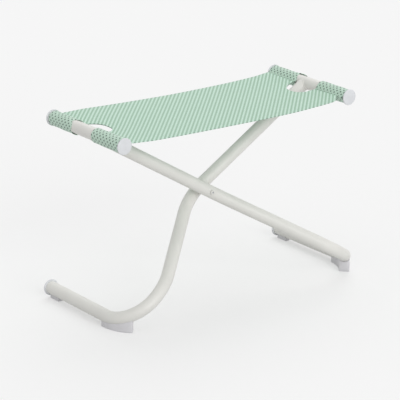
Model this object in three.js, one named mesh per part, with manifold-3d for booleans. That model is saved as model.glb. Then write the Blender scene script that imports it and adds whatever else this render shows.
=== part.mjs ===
// Folding outdoor footstool: two bent single-tube legs cross at one pivot, each carries a straight
// top rail, and a mesh sling is stretched between the two rails. Millimetres, +Z up.
// X runs along the sling, from the left rail (-X) to the right rail (+X). Y runs along the rails:
// the near side is -Y and the far side is +Y.
import * as THREE from "three";
import { mergeVertices } from "three/addons/utils/BufferGeometryUtils.js";
import Module from "manifold-3d";

// Tubes
const tubeDiameter = 25;
const tubeWall = 1.5;
const railAxisHeight = 362;
const railCentreSpacing = 541;
const railLength = 232;
const floorTubeSpacing = 571;
const floorTubeFarReach = 116;

// Each leg is one tube bent in one slanted plane. bendStart is the Y at which its floor run ends, and
// easeRadius takes over from bendRadius after bendTurn. upperRadius brings it back parallel to the sling
// at upperBendEnd past the pivot. rearLegOffset is the Y of the rear leg's straight upper part.
const legGap = 8;
const rearLegOffset = 17.5;
const rearLegBend = {
  bendStart: -73,
  bendRadius: 66,
  bendTurn: 97.6,
  easeRadius: 127,
  upperRadius: 143,
  upperBendEnd: 19.4,
};
const frontLegBend = {
  bendStart: -60,
  bendRadius: 87,
  bendTurn: 97.6,
  easeRadius: 87,
  upperRadius: 120,
  upperBendEnd: 7.3,
};

// Feet: plastic saddles under the floor runs, each with a peg pushed into the tube
const footThickness = 7;
const footChamfer = 2;
const nearFootWidth = 20;
const nearFootStart = -69;
const nearFootLength = 66;
const farFootWidth = 11;
const farFootInset = 4;
const farFootLength = 28;
const pegDiameter = 6;
const pegReach = 5;

// End caps: a domed flange on a stem that plugs the tube
const capFlangeDiameter = 32;
const capFlangeThickness = 4;
const capEdgeRadius = 1.6;
const capDomeRise = 0.9;
const capStemLength = 18;
const capStemWall = 2.4;
const capLipHeight = 0.7;
const capLipWidth = 3;

// Pivot
const boltShankDiameter = 6;
const boltHeadDiameter = 10;
const boltHeadHeight = 1.8;
const boltSocketWidth = 4;
const boltSocketDepth = 1.2;
const crushSleeveDiameter = 10;
const crushSleeveInset = 1.7;
const spacerDiameter = 20;
const spacerWrap = 2.5;
const washerDiameter = 12;
const washerThickness = 1.6;
const nutWidth = 10;
const nutHexHeight = 5;
const nutHeight = 9.5;
const nutDomeDiameter = 9;
const boltReachInNut = 5.5;

// Sling: one cloth, folded round each rail into sewn sleeves, with a hand hole at the middle of each rail
const clothThickness = 0.8;
const seamOverhang = 3.9;
const seamAngle = 12;
const slingSag = 7;
const sleeveEndGap = 1;
const handHoleLength = 68;
const leftHandHoleDepth = 50;
const rightHandHoleDepth = 57;
const handHoleCornerRadius = 26;
const leftSleeveLegGap = 1.5;
const rightSleeveLegGap = 4;

// Clearance between pieces that touch, and how far a cutting tool runs past what it cuts
const clearance = 0.3;
const overrun = 5;
const mergeDistance = 0.001;

// Facets
const tubeSides = 24;
const smallSides = 20;
const arcStep = 9;
const footSteps = 9;
const saddleSteps = 6;
const sagSteps = 20;
const seamSteps = 20;
const halvings = 30;

const tubeRadius = tubeDiameter / 2;
const tubeBore = tubeRadius - tubeWall;
const railHalfSpacing = railCentreSpacing / 2;
const railHalfLength = railLength / 2;
const floorHalfSpacing = floorTubeSpacing / 2;
const floorAxisHeight = tubeRadius + footThickness;
const frontLegOffset = rearLegOffset - tubeDiameter - legGap;
const sleeveBore = tubeRadius + clearance;
const sleeveRadius = sleeveBore + clothThickness;
const seamReach = sleeveRadius + seamOverhang;
const radians = THREE.MathUtils.degToRad;

// The slanted plane that each leg lies in, from its floor tube up to the opposite rail
const legRise = railAxisHeight - floorAxisHeight;
const legRun = railHalfSpacing + floorHalfSpacing;
const legSlope = Math.atan2(legRise, legRun);
const legSpan = Math.hypot(legRise, legRun);
const pivotClimb = (legSpan * floorHalfSpacing) / legRun;
const pivotHeight = floorAxisHeight + (legRise * floorHalfSpacing) / legRun;

// The part is centred on its bounding box, which the near bends and the far caps set in Y
const nearReach =
  Math.max(
    rearLegBend.bendRadius - rearLegBend.bendStart,
    frontLegBend.bendRadius - frontLegBend.bendStart,
  ) + tubeRadius;
const farReach = Math.max(floorTubeFarReach, railHalfLength) + capFlangeThickness;
const centreShift = (nearReach - farReach) / 2;

const wasm = await Module();
wasm.setup();

// A closed geometry as a solid that can be cut and joined.
function solidOf(geometry) {
  const shell = geometry.clone();
  shell.deleteAttribute("normal");
  shell.deleteAttribute("uv");
  const merged = mergeVertices(shell, mergeDistance);
  const corners = merged.index.array;
  const faces = [];
  for (let i = 0; i < corners.length; i += 3) {
    const [a, b, c] = [corners[i], corners[i + 1], corners[i + 2]];
    if (a !== b && b !== c && c !== a) faces.push(a, b, c);
  }
  return new wasm.Manifold(
    new wasm.Mesh({
      numProp: 3,
      vertProperties: merged.getAttribute("position").array,
      triVerts: new Uint32Array(faces),
    }),
  );
}

function geometryOf(solid) {
  const mesh = solid.getMesh();
  const geometry = new THREE.BufferGeometry();
  geometry.setAttribute("position", new THREE.BufferAttribute(mesh.vertProperties, 3));
  geometry.setIndex(new THREE.BufferAttribute(mesh.triVerts, 1));
  geometry.computeVertexNormals();
  return geometry;
}

const cut = (body, ...tools) =>
  geometryOf(tools.reduce((left, tool) => left.subtract(solidOf(tool)), solidOf(body)));

const join = (body, ...others) =>
  geometryOf(others.reduce((sum, other) => sum.add(solidOf(other)), solidOf(body)));

// A round bar along Y, centred on x and z, from one y to another.
function barAlongY(radius, x, fromY, toY, z, sides = smallSides) {
  const bar = new THREE.CylinderGeometry(radius, radius, toY - fromY, sides);
  return bar.translate(x, (fromY + toY) / 2, z);
}

function barAlongZ(radius, x, y, fromZ, toZ) {
  const bar = new THREE.CylinderGeometry(radius, radius, toZ - fromZ, smallSides);
  return bar.rotateX(Math.PI / 2).translate(x, y, (fromZ + toZ) / 2);
}

// A flat ring round the Y axis, with its lower face at y = 0.
function ring(bore, radius, height) {
  const profile = [
    new THREE.Vector2(bore, 0),
    new THREE.Vector2(radius, 0),
    new THREE.Vector2(radius, height),
    new THREE.Vector2(bore, height),
    new THREE.Vector2(bore, 0),
  ];
  return new THREE.LatheGeometry(profile, smallSides);
}

// An outline in X and Z, pushed along Y from nearY to farY.
function extrudeAlongY(outline, nearY, farY, curveSegments) {
  const settings = { depth: farY - nearY, bevelEnabled: false, curveSegments };
  return new THREE.ExtrudeGeometry(outline, settings).rotateX(Math.PI / 2).translate(0, farY, 0);
}

// The centre line of one leg. Distances run from the far end of its floor run. In the slanted plane,
// s climbs from the floor tube to the rail and y is the part's own Y; a heading of 0 points up s.
class LegPath {
  constructor(side, bend, offset) {
    this.side = side;
    this.pieces = [];
    this.end = { s: 0, y: floorTubeFarReach, heading: -Math.PI / 2 };
    this.length = 0;
    this.addStraight(floorTubeFarReach - bend.bendStart);
    this.addArc(bend.bendRadius, radians(bend.bendTurn));
    // The diagonal is the line that leaves the easing arc and meets the upper arc, tangent to both.
    const { s, y, heading } = this.end;
    const across = pivotClimb + bend.upperBendEnd - (s - bend.easeRadius * Math.sin(heading));
    const along = offset - bend.upperRadius - (y + bend.easeRadius * Math.cos(heading));
    const apart = Math.hypot(across, along);
    const radii = bend.easeRadius + bend.upperRadius;
    const diagonal = Math.atan2(along, across) + Math.asin(radii / apart);
    this.addArc(bend.easeRadius, diagonal - heading);
    this.addStraight(Math.sqrt(apart ** 2 - radii ** 2));
    this.addArc(bend.upperRadius, -diagonal);
    this.addStraight(legSpan - this.end.s);
  }

  addStraight(length) {
    this.addPiece({ length, turn: 0 });
  }

  addArc(radius, turn) {
    this.addPiece({ length: radius * Math.abs(turn), turn });
  }

  addPiece(piece) {
    piece.from = this.length;
    piece.start = this.end;
    this.pieces.push(piece);
    this.length += piece.length;
    this.end = this.onPiece(piece, piece.length);
  }

  onPiece(piece, distance) {
    const { s, y, heading } = piece.start;
    const turned = (piece.turn * distance) / piece.length;
    if (piece.turn === 0)
      return { s: s + distance * Math.cos(heading), y: y + distance * Math.sin(heading), heading };
    const radius = piece.length / piece.turn;
    return {
      s: s + radius * (Math.sin(heading + turned) - Math.sin(heading)),
      y: y - radius * (Math.cos(heading + turned) - Math.cos(heading)),
      heading: heading + turned,
    };
  }

  onPlane(distance) {
    const piece = this.pieces.findLast((one) => one.from <= distance);
    return this.onPiece(piece, distance - piece.from);
  }

  at(distance) {
    return this.inSpace(this.onPlane(distance));
  }

  // The Y of the centre line where it has climbed to s.
  offsetAt(s) {
    let low = 0;
    let high = this.length;
    for (let k = 0; k < halvings; k++) {
      const middle = (low + high) / 2;
      if (this.onPlane(middle).s < s) low = middle;
      else high = middle;
    }
    return this.onPlane(low).y;
  }

  // A point of the slanted plane as a place and a direction in space.
  inSpace({ s, y, heading }) {
    const alongX = -this.side * Math.cos(legSlope);
    const alongZ = Math.sin(legSlope);
    return {
      point: new THREE.Vector3(this.side * floorHalfSpacing + s * alongX, y, floorAxisHeight + s * alongZ),
      tangent: new THREE.Vector3(
        alongX * Math.cos(heading),
        Math.sin(heading),
        alongZ * Math.cos(heading),
      ),
    };
  }

  // Stations at each end of each piece, and every few degrees round each arc.
  stations() {
    const found = [this.inSpace(this.pieces[0].start)];
    for (const piece of this.pieces) {
      const steps = Math.max(1, Math.ceil(Math.abs(piece.turn) / radians(arcStep)));
      for (let k = 1; k <= steps; k++)
        found.push(this.inSpace(this.onPiece(piece, (piece.length * k) / steps)));
    }
    return found;
  }
}

// A curve that steps from station to station, so that straight runs take no extra facets.
class StationCurve extends THREE.Curve {
  constructor(stations) {
    super();
    this.stations = stations;
  }

  station(t) {
    return this.stations[Math.round(t * (this.stations.length - 1))];
  }

  getPoint(t, target = new THREE.Vector3()) {
    return target.copy(this.station(t).point);
  }

  getPointAt(t, target) {
    return this.getPoint(t, target);
  }

  getTangentAt(t, target = new THREE.Vector3()) {
    return target.copy(this.station(t).tangent);
  }
}

function tubeSection() {
  const section = new THREE.Shape().absarc(0, 0, tubeRadius, 0, 2 * Math.PI);
  section.holes.push(new THREE.Path().absarc(0, 0, tubeBore, 0, 2 * Math.PI));
  return section;
}

function sweep(section, path) {
  const stations = path.stations();
  return new THREE.ExtrudeGeometry(section, {
    steps: stations.length - 1,
    curveSegments: tubeSides / 2,
    extrudePath: new StationCurve(stations),
  });
}

// One leg tube, its top end notched to seat on the rail, bored for the pivot and for its feet's pegs.
function legTube(path, railX, offset, pegs) {
  const notch = barAlongY(
    tubeRadius + clearance,
    railX,
    offset - tubeDiameter,
    offset + tubeDiameter,
    railAxisHeight,
    2 * tubeSides,
  );
  const bore = barAlongY(
    crushSleeveDiameter / 2 + clearance,
    0,
    offset - tubeRadius - overrun,
    offset + tubeRadius + overrun,
    pivotHeight,
  );
  const pegHoles = pegs.map(({ point }) =>
    barAlongZ(pegDiameter / 2 + clearance, point.x, point.y, point.z - tubeDiameter, point.z),
  );
  return cut(sweep(tubeSection(), path), notch, bore, ...pegHoles);
}

function railTube() {
  return extrudeAlongY(tubeSection(), -railHalfLength, railHalfLength, tubeSides / 2);
}

// A closed skin over rings of points. Each ring's outline, in its own plane, closes the two ends.
function loft(rings, outlines) {
  const count = rings[0].length;
  const corners = [];
  for (let k = 0; k + 1 < rings.length; k++)
    for (let i = 0; i < count; i++) {
      const j = (i + 1) % count;
      corners.push(rings[k][i], rings[k][j], rings[k + 1][j]);
      corners.push(rings[k][i], rings[k + 1][j], rings[k + 1][i]);
    }
  const last = rings.length - 1;
  for (const [a, b, c] of THREE.ShapeUtils.triangulateShape(outlines[0], []))
    corners.push(rings[0][c], rings[0][b], rings[0][a]);
  for (const [a, b, c] of THREE.ShapeUtils.triangulateShape(outlines[last], []))
    corners.push(rings[last][a], rings[last][b], rings[last][c]);
  return new THREE.BufferGeometry().setFromPoints(corners);
}

// The foot's section square to the tube in plan: flat below, and hollowed above to the tube.
function footOutline(width, axisHeight, climb) {
  const half = width / 2;
  const seat = tubeRadius + clearance;
  const outline = [
    new THREE.Vector2(-half, footChamfer),
    new THREE.Vector2(-half + footChamfer, 0),
    new THREE.Vector2(half - footChamfer, 0),
    new THREE.Vector2(half, footChamfer),
  ];
  for (let i = 0; i <= saddleSteps; i++) {
    const across = half - (width * i) / saddleSteps;
    const drop = Math.sqrt(seat ** 2 - across ** 2) / Math.cos(climb);
    outline.push(new THREE.Vector2(across, axisHeight - drop));
  }
  return outline;
}

// A saddle foot that follows the tube for a length of it, with its peg pushed up into the tube.
function foot(path, { width, from, length, pegAt }) {
  const rings = [];
  const outlines = [];
  for (let k = 0; k <= footSteps; k++) {
    const { point, tangent } = path.at(from + (length * k) / footSteps);
    const inPlan = Math.hypot(tangent.x, tangent.y);
    const across = new THREE.Vector3(-tangent.y / inPlan, tangent.x / inPlan, 0);
    const outline = footOutline(width, point.z, Math.atan2(tangent.z, inPlan));
    outlines.push(outline);
    rings.push(
      outline.map(({ x, y }) => new THREE.Vector3(point.x + x * across.x, point.y + x * across.y, y)),
    );
  }
  const { point } = path.at(pegAt);
  const pegTop = point.z - tubeBore + pegReach;
  return join(
    loft(rings, outlines),
    barAlongZ(pegDiameter / 2, point.x, point.y, footThickness / 2, pegTop),
  );
}

// A cap about the Y axis: the flange stands out at +Y from the tube's end, which is at y = 0.
function endCap() {
  const flange = capFlangeDiameter / 2;
  const stem = tubeBore - clearance - capLipHeight;
  const rim = capFlangeThickness - capDomeRise;
  const profile = new THREE.Path().moveTo(0, -capLipWidth);
  profile.lineTo(stem - capStemWall, -capLipWidth);
  profile.lineTo(stem - capStemWall, -capStemLength);
  profile.lineTo(stem, -capStemLength);
  profile.lineTo(stem + capLipHeight, capLipWidth / 2 - capStemLength);
  profile.lineTo(stem, capLipWidth - capStemLength);
  profile.lineTo(stem, clearance);
  profile.lineTo(flange, clearance);
  profile.absarc(flange - capEdgeRadius, rim - capEdgeRadius, capEdgeRadius, 0, Math.PI / 2, false);
  profile.quadraticCurveTo(flange / 2, capFlangeThickness, 0, capFlangeThickness);
  return new THREE.LatheGeometry(profile.getPoints(2), tubeSides);
}

// The sleeve's section: the cloth goes round the rail and meets itself at the seam on the inboard side.
function sleeveOutline(side) {
  const seam = side < 0 ? radians(seamAngle) : Math.PI - radians(seamAngle);
  const spread = Math.acos(sleeveRadius / seamReach);
  const railX = side * railHalfSpacing;
  const ply = new THREE.Vector2(-Math.sin(seam), Math.cos(seam)).multiplyScalar(clothThickness);
  const tip = new THREE.Vector2(
    railX + seamReach * Math.cos(seam),
    railAxisHeight + seamReach * Math.sin(seam),
  );
  const outline = new THREE.Shape().absarc(
    railX,
    railAxisHeight,
    sleeveRadius,
    seam + spread,
    seam - spread + 2 * Math.PI,
    false,
  );
  outline.lineTo(tip.x - ply.x, tip.y - ply.y);
  outline.lineTo(tip.x + ply.x, tip.y + ply.y);
  outline.holes.push(new THREE.Path().absarc(railX, railAxisHeight, sleeveBore, 0, 2 * Math.PI));
  return outline;
}

// The hand hole beside one rail, from its near edge to its far edge in Y.
const handHoles = {
  left: {
    side: -1,
    depth: leftHandHoleDepth,
    near: frontLegOffset - tubeRadius - leftSleeveLegGap,
    far: frontLegOffset - tubeRadius - leftSleeveLegGap + handHoleLength,
  },
  right: {
    side: 1,
    depth: rightHandHoleDepth,
    near: rearLegOffset + tubeRadius + rightSleeveLegGap - handHoleLength,
    far: rearLegOffset + tubeRadius + rightSleeveLegGap,
  },
};

function handHoleCutter({ side, depth, near, far }) {
  const railX = side * railHalfSpacing;
  const corner = handHoleCornerRadius;
  const edge = depth - corner;
  const outline = new THREE.Shape().moveTo(0, near);
  outline.lineTo(edge, near);
  outline.absarc(edge, near + corner, corner, -Math.PI / 2, 0, false);
  outline.lineTo(depth, far - corner);
  outline.absarc(edge, far - corner, corner, 0, Math.PI / 2, false);
  outline.lineTo(0, far);
  const cutter = new THREE.ExtrudeGeometry(outline, {
    depth: railAxisHeight,
    bevelEnabled: false,
    curveSegments: tubeSides / 4,
  });
  if (side > 0) cutter.rotateZ(Math.PI).translate(0, near + far, 0);
  return cutter.translate(railX, 0, railAxisHeight / 2);
}

// The sling between the two seams: a thin sheet that sags in the middle, with both hand holes cut.
function slingPanel() {
  const edge = railHalfSpacing - (seamReach + clearance) * Math.cos(radians(seamAngle));
  const seamHeight = railAxisHeight + seamReach * Math.sin(radians(seamAngle));
  const heightAt = (x) => seamHeight - slingSag * (1 - (x / edge) ** 2);
  const outline = new THREE.Shape();
  const places = Array.from({ length: sagSteps + 1 }, (_, i) => edge * ((2 * i) / sagSteps - 1));
  outline.setFromPoints([
    ...places.map((x) => new THREE.Vector2(x, heightAt(x) - clothThickness)),
    ...places.toReversed().map((x) => new THREE.Vector2(x, heightAt(x) + clothThickness)),
  ]);
  const reach = railHalfLength - sleeveEndGap;
  const sheet = extrudeAlongY(outline, -reach, reach, seamSteps);
  return cut(sheet, handHoleCutter(handHoles.left), handHoleCutter(handHoles.right));
}

// The pivot bolt: a low domed head with a hex socket, and a plain shank that reaches into the nut.
function pivotBolt(length) {
  const head = boltHeadDiameter / 2;
  const shank = boltShankDiameter / 2;
  const profile = new THREE.Path().moveTo(0, -boltHeadHeight);
  profile.lineTo(head / 2, -boltHeadHeight);
  profile.quadraticCurveTo(head, -boltHeadHeight, head, -boltHeadHeight / 3);
  profile.lineTo(head, 0);
  profile.lineTo(shank, 0);
  profile.lineTo(shank, length);
  profile.lineTo(0, length);
  const socket = new THREE.CylinderGeometry(
    boltSocketWidth / Math.sqrt(3),
    boltSocketWidth / Math.sqrt(3),
    2 * boltSocketDepth,
    6,
  ).translate(0, -boltHeadHeight, 0);
  return cut(new THREE.LatheGeometry(profile.getPoints(4), smallSides), socket);
}

// The spacer between the legs, from nearY: flat against the front leg and hollowed to seat on the rear.
function pivotSpacer(nearY, rearLeg) {
  const farY = rearLeg.offsetAt(pivotClimb) - tubeRadius + spacerWrap;
  const blank = ring(boltShankDiameter / 2 + clearance, spacerDiameter / 2, farY - nearY);
  const seat = new THREE.Shape().absarc(0, 0, tubeRadius + clearance, 0, 2 * Math.PI);
  return cut(blank, sweep(seat, rearLeg).translate(0, -nearY, -pivotHeight));
}

// A dome nut whose open face is at y = 0.
function domeNut() {
  const dome = nutDomeDiameter / 2;
  const corner = nutWidth / Math.sqrt(3);
  const hex = new THREE.CylinderGeometry(corner, corner, nutHexHeight, 6).translate(0, nutHexHeight / 2, 0);
  const crown = new THREE.Path().moveTo(0, nutHexHeight - clearance);
  crown.lineTo(dome, nutHexHeight - clearance);
  crown.quadraticCurveTo(dome, nutHeight, 0, nutHeight);
  const bore = boltShankDiameter / 2 + clearance;
  const hole = barAlongY(bore, 0, -overrun, boltReachInNut + clearance, 0);
  const crownGeometry = new THREE.LatheGeometry(crown.getPoints(4), smallSides);
  return cut(join(hex, crownGeometry), hole);
}

// Finishes
const paint = (color) => new THREE.MeshStandardMaterial({ color, roughness: 0.45, metalness: 0.1 });
const plastic = (color) => new THREE.MeshStandardMaterial({ color, roughness: 0.5, metalness: 0 });
const cloth = (color) => new THREE.MeshStandardMaterial({ color, roughness: 0.9, metalness: 0 });
const frameWhite = paint(0xe6e6dd);
const capLilac = plastic(0xdadae0);
const footGrey = plastic(0xc3c2c7);
const slingMint = cloth(0xbfdccb);
const sleeveGreen = cloth(0xa9cdb7);
const zinc = new THREE.MeshStandardMaterial({ color: 0xb9bcbf, roughness: 0.35, metalness: 1 });
const nylon = plastic(0xd0d0cc);

const footstool = new THREE.Group();
footstool.position.y = centreShift;

function add(name, geometry, material) {
  const mesh = new THREE.Mesh(geometry, material);
  mesh.name = name;
  footstool.add(mesh);
  return mesh;
}

// The rear leg stands on the left and carries the right rail; the front leg is its crossing partner.
const rearLeg = new LegPath(-1, rearLegBend, rearLegOffset);
const frontLeg = new LegPath(1, frontLegBend, frontLegOffset);
const legs = [
  { name: "rear_leg", side: -1, path: rearLeg, offset: rearLegOffset },
  { name: "front_leg", side: 1, path: frontLeg, offset: frontLegOffset },
];
for (const { name, side, path, offset } of legs) {
  const nearFrom = floorTubeFarReach - nearFootStart;
  const feet = {
    near: {
      width: nearFootWidth,
      from: nearFrom,
      length: nearFootLength,
      pegAt: nearFrom + nearFootLength / 2,
    },
    far: {
      width: farFootWidth,
      from: farFootInset,
      length: farFootLength,
      pegAt: capStemLength + pegDiameter,
    },
  };
  const pegs = Object.values(feet).map(({ pegAt }) => path.at(pegAt));
  add(name + "_tube", legTube(path, -side * railHalfSpacing, offset, pegs), frameWhite);
  for (const [place, seat] of Object.entries(feet))
    add(`${name}_${place}_foot`, foot(path, seat), footGrey);
  const cap = add(name + "_floor_cap", endCap(), capLilac);
  cap.position.set(side * floorHalfSpacing, floorTubeFarReach, floorAxisHeight);
  const sleeve = add(
    name + "_crush_sleeve",
    ring(
      boltShankDiameter / 2 + clearance,
      crushSleeveDiameter / 2,
      tubeDiameter - 2 * crushSleeveInset,
    ),
    zinc,
  );
  sleeve.position.set(0, path.offsetAt(pivotClimb) - tubeRadius + crushSleeveInset, pivotHeight);
}

for (const [end, hole] of Object.entries(handHoles)) {
  const railX = hole.side * railHalfSpacing;
  const rail = add(end + "_rail_tube", railTube(), frameWhite);
  rail.position.set(railX, 0, railAxisHeight);
  for (const [place, direction] of [["near", -1], ["far", 1]]) {
    const cap = add(`${end}_rail_${place}_cap`, endCap(), capLilac);
    cap.position.set(railX, direction * railHalfLength, railAxisHeight);
    if (direction < 0) cap.rotation.z = Math.PI;
  }
  const sleeveEnd = railHalfLength - sleeveEndGap;
  const outline = sleeveOutline(hole.side);
  add(`${end}_sleeve_near`, extrudeAlongY(outline, -sleeveEnd, hole.near, seamSteps), sleeveGreen);
  add(`${end}_sleeve_far`, extrudeAlongY(outline, hole.far, sleeveEnd, seamSteps), sleeveGreen);
}
add("sling_panel", slingPanel(), slingMint);

// The pivot stack, from the bolt's head in front of the front leg to the nut behind the rear leg. The
// legs are still bending slightly there, so each seat clears the tube over the width of what sits on it.
const headSeat = frontLeg.offsetAt(pivotClimb - boltHeadDiameter / 2) - tubeRadius - clearance;
const spacerSeat = frontLegOffset + tubeRadius + clearance;
const washerSeat = rearLeg.offsetAt(pivotClimb + washerDiameter / 2) + tubeRadius + clearance;
const nutSeat = washerSeat + washerThickness + clearance;
const washerBore = boltShankDiameter / 2 + clearance;
const stack = [
  ["pivot_bolt", pivotBolt(nutSeat + boltReachInNut - headSeat), zinc, headSeat],
  ["pivot_spacer", pivotSpacer(spacerSeat, rearLeg), nylon, spacerSeat],
  ["pivot_washer", ring(washerBore, washerDiameter / 2, washerThickness), zinc, washerSeat],
  ["pivot_dome_nut", domeNut(), zinc, nutSeat],
];
for (const [name, geometry, material, seat] of stack)
  add(name, geometry, material).position.set(0, seat, pivotHeight);

export default footstool;
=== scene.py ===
"""Folding outdoor footstool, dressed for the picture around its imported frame.

Two bent tube legs cross at one pivot, each carries a straight rail, and a mesh sling is stretched between
the rails. Everything is in metres with +Z up: +X runs from the left rail to the right rail, -Y is the near
side and +Y the far side.
"""

from __future__ import annotations

import logging
import math
from dataclasses import dataclass, field
from enum import Enum, IntEnum
from typing import Callable, Iterable, Sequence

import bmesh
import bpy
from mathutils import Matrix, Vector

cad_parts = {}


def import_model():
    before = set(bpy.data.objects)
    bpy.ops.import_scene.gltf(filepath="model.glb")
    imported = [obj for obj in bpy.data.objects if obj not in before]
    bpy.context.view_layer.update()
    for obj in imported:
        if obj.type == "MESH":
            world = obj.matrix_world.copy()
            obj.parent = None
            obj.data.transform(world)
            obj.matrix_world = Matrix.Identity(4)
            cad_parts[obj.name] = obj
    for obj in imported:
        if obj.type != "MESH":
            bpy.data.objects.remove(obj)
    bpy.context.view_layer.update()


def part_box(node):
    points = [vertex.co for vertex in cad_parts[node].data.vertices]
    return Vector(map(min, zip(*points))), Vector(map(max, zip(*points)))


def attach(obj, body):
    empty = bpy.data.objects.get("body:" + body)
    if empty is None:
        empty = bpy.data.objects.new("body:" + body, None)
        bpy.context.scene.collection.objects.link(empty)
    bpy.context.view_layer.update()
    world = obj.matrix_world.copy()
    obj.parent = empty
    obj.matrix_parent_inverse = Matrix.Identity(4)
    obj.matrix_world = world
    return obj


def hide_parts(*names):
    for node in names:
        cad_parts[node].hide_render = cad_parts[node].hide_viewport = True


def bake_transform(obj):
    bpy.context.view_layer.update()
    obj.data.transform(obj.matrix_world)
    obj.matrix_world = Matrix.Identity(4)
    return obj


LOG = logging.getLogger("footstool")

MM = 0.001
REAR = "rear_frame"
FRONT = "front_frame"
CLOTH_MAP = "cloth"
SMOOTH_BELOW = math.radians(38)
WHITE = (1.0, 1.0, 1.0, 1.0)
ACROSS = Vector((1.0, 0.0, 0.0))
FAR = Vector((0.0, 1.0, 0.0))
UP = Vector((0.0, 0.0, 1.0))

Piece = bpy.types.Object
Material = bpy.types.Material
Socket = bpy.types.NodeSocket
Number = float | Socket
Colour = tuple[int, int, int]
Cloth = tuple[float, float]
Span = tuple[float, float]
Table = tuple[tuple[float, float], ...]
Reach = Callable[[float], float]
Profile = Iterable[tuple[float, float | Reach]]


class Face(Enum):
    """Which face of the sling's cloth shows."""

    STRIPES = "stripes"
    DOTS = "dots"


class PanelMark(IntEnum):
    """Which finish a face of the sling's panel takes."""

    TOP = 0
    UNDERSIDE = 1
    # Darker sage along the free edges: partly edge marks in the cloth, partly painted shade.
    RIM_MARKS_AND_SHADE = 2
    # The hem's edge faces, whose darker ground is painted shade.
    HEM_SHADE = 3


class BoltMark(IntEnum):
    """Which finish a face of the bolt takes: the frame's paint on its head, and bare plating elsewhere."""

    PAINTED = 0
    PLATED = 1


# Geometry


@dataclass
class Skin:
    """The points and faces of one mesh while it is being built.

    Each point may carry its place on the flat cloth, and each face the number of its finish.
    """

    points: list[Vector] = field(default_factory=list)
    cloth: list[Cloth] = field(default_factory=list)
    faces: list[tuple[int, ...]] = field(default_factory=list)
    marks: list[int] = field(default_factory=list)

    def row(self, points: Sequence[Vector], cloth: Sequence[Cloth] = ()) -> list[int]:
        """Add a row of points.

        Args:
            points: The places of the points.
            cloth: Their places on the flat cloth, or nothing where there is no cloth.

        Returns:
            The numbers of the new points.
        """
        start = len(self.points)
        self.points += [Vector(point) for point in points]
        self.cloth += list(cloth) or [(0.0, 0.0)] * len(points)
        return list(range(start, len(self.points)))

    def face(self, corners: tuple[int, ...], mark: int = 0) -> None:
        """Add one face.

        Args:
            corners: The numbers of its points, in order round it.
            mark: The number of its finish.
        """
        self.faces.append(corners)
        self.marks.append(mark)

    def bridge(
        self, first: Sequence[int], second: Sequence[int], mark: int = 0, closed: bool = True
    ) -> None:
        """Join two rows of the same length with four-sided faces.

        Args:
            first: The numbers of the first row's points.
            second: The numbers of the second row's points.
            mark: The number of the faces' finish.
            closed: Whether the rows are rings.
        """
        count = len(first)
        for i in range(count if closed else count - 1):
            j = (i + 1) % count
            self.face((first[i], first[j], second[j], second[i]), mark)

    def bridge_all(self, rows: Sequence[Sequence[int]], mark: int = 0, closed: bool = True) -> None:
        """Join each row to the next.

        Args:
            rows: The rows, in order.
            mark: The number of the faces' finish.
            closed: Whether the rows are rings.
        """
        for first, second in zip(rows, rows[1:]):
            self.bridge(first, second, mark, closed)

    def close(self, ring: Sequence[int], mark: int = 0) -> None:
        """Close a ring with triangles round its middle.

        Args:
            ring: The numbers of the ring's points.
            mark: The number of the faces' finish.
        """
        middle = sum((self.points[i] for i in ring), Vector()) / len(ring)
        flat = [sum(self.cloth[i][k] for i in ring) / len(ring) for k in (0, 1)]
        (hub,) = self.row([middle], [(flat[0], flat[1])])
        for i, corner in enumerate(ring):
            self.face((corner, ring[(i + 1) % len(ring)], hub), mark)

    def close_tube(self, rings: Sequence[Sequence[int]]) -> None:
        """Join rings and close both ends.

        Args:
            rings: The rings, in order.
        """
        self.bridge_all(rings)
        self.close(rings[0])
        self.close(rings[-1])

    def build(self, name: str, finishes: Sequence[Material]) -> Piece:
        """Make the Blender object, with outward normals and smooth shading below the crease angle.

        Args:
            name: The object's name.
            finishes: One material for each mark.

        Returns:
            The new object, linked to the scene.
        """
        mesh = bpy.data.meshes.new(name)
        mesh.from_pydata([tuple(point) for point in self.points], [], self.faces)
        mesh.polygons.foreach_set("material_index", self.marks)
        if any(u or v for u, v in self.cloth):
            layer = mesh.uv_layers.new(name=CLOTH_MAP)
            for loop in mesh.loops:
                layer.data[loop.index].uv = self.cloth[loop.vertex_index]
        editor = bmesh.new()
        editor.from_mesh(mesh)
        bmesh.ops.recalc_face_normals(editor, faces=editor.faces)
        editor.to_mesh(mesh)
        editor.free()
        mesh.shade_smooth()
        mesh.set_sharp_from_angle(angle=SMOOTH_BELOW)
        for finish in finishes:
            mesh.materials.append(finish)
        piece = bpy.data.objects.new(name, mesh)
        bpy.context.scene.collection.objects.link(piece)
        return piece


def circle(centre: Vector, across: Vector, up: Vector, radius: float, sides: int) -> list[Vector]:
    """Give the points of a circle.

    Args:
        centre: The circle's centre.
        across: The unit direction of its first point.
        up: The unit direction a quarter turn on.
        radius: The circle's radius.
        sides: How many points.

    Returns:
        The points in order.
    """
    angles = [2 * math.pi * k / sides for k in range(sides)]
    return [centre + radius * (math.cos(a) * across + math.sin(a) * up) for a in angles]


def hexagon_reach(angle: float, flats: float) -> float:
    """Give how far a hexagon reaches from its centre in one direction.

    Args:
        angle: The direction, in radians.
        flats: The hexagon's width across flats.

    Returns:
        The distance from the centre to the side.
    """
    turned = (angle + math.pi / 6) % (math.pi / 3) - math.pi / 6
    return flats / 2 / math.cos(turned)


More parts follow.
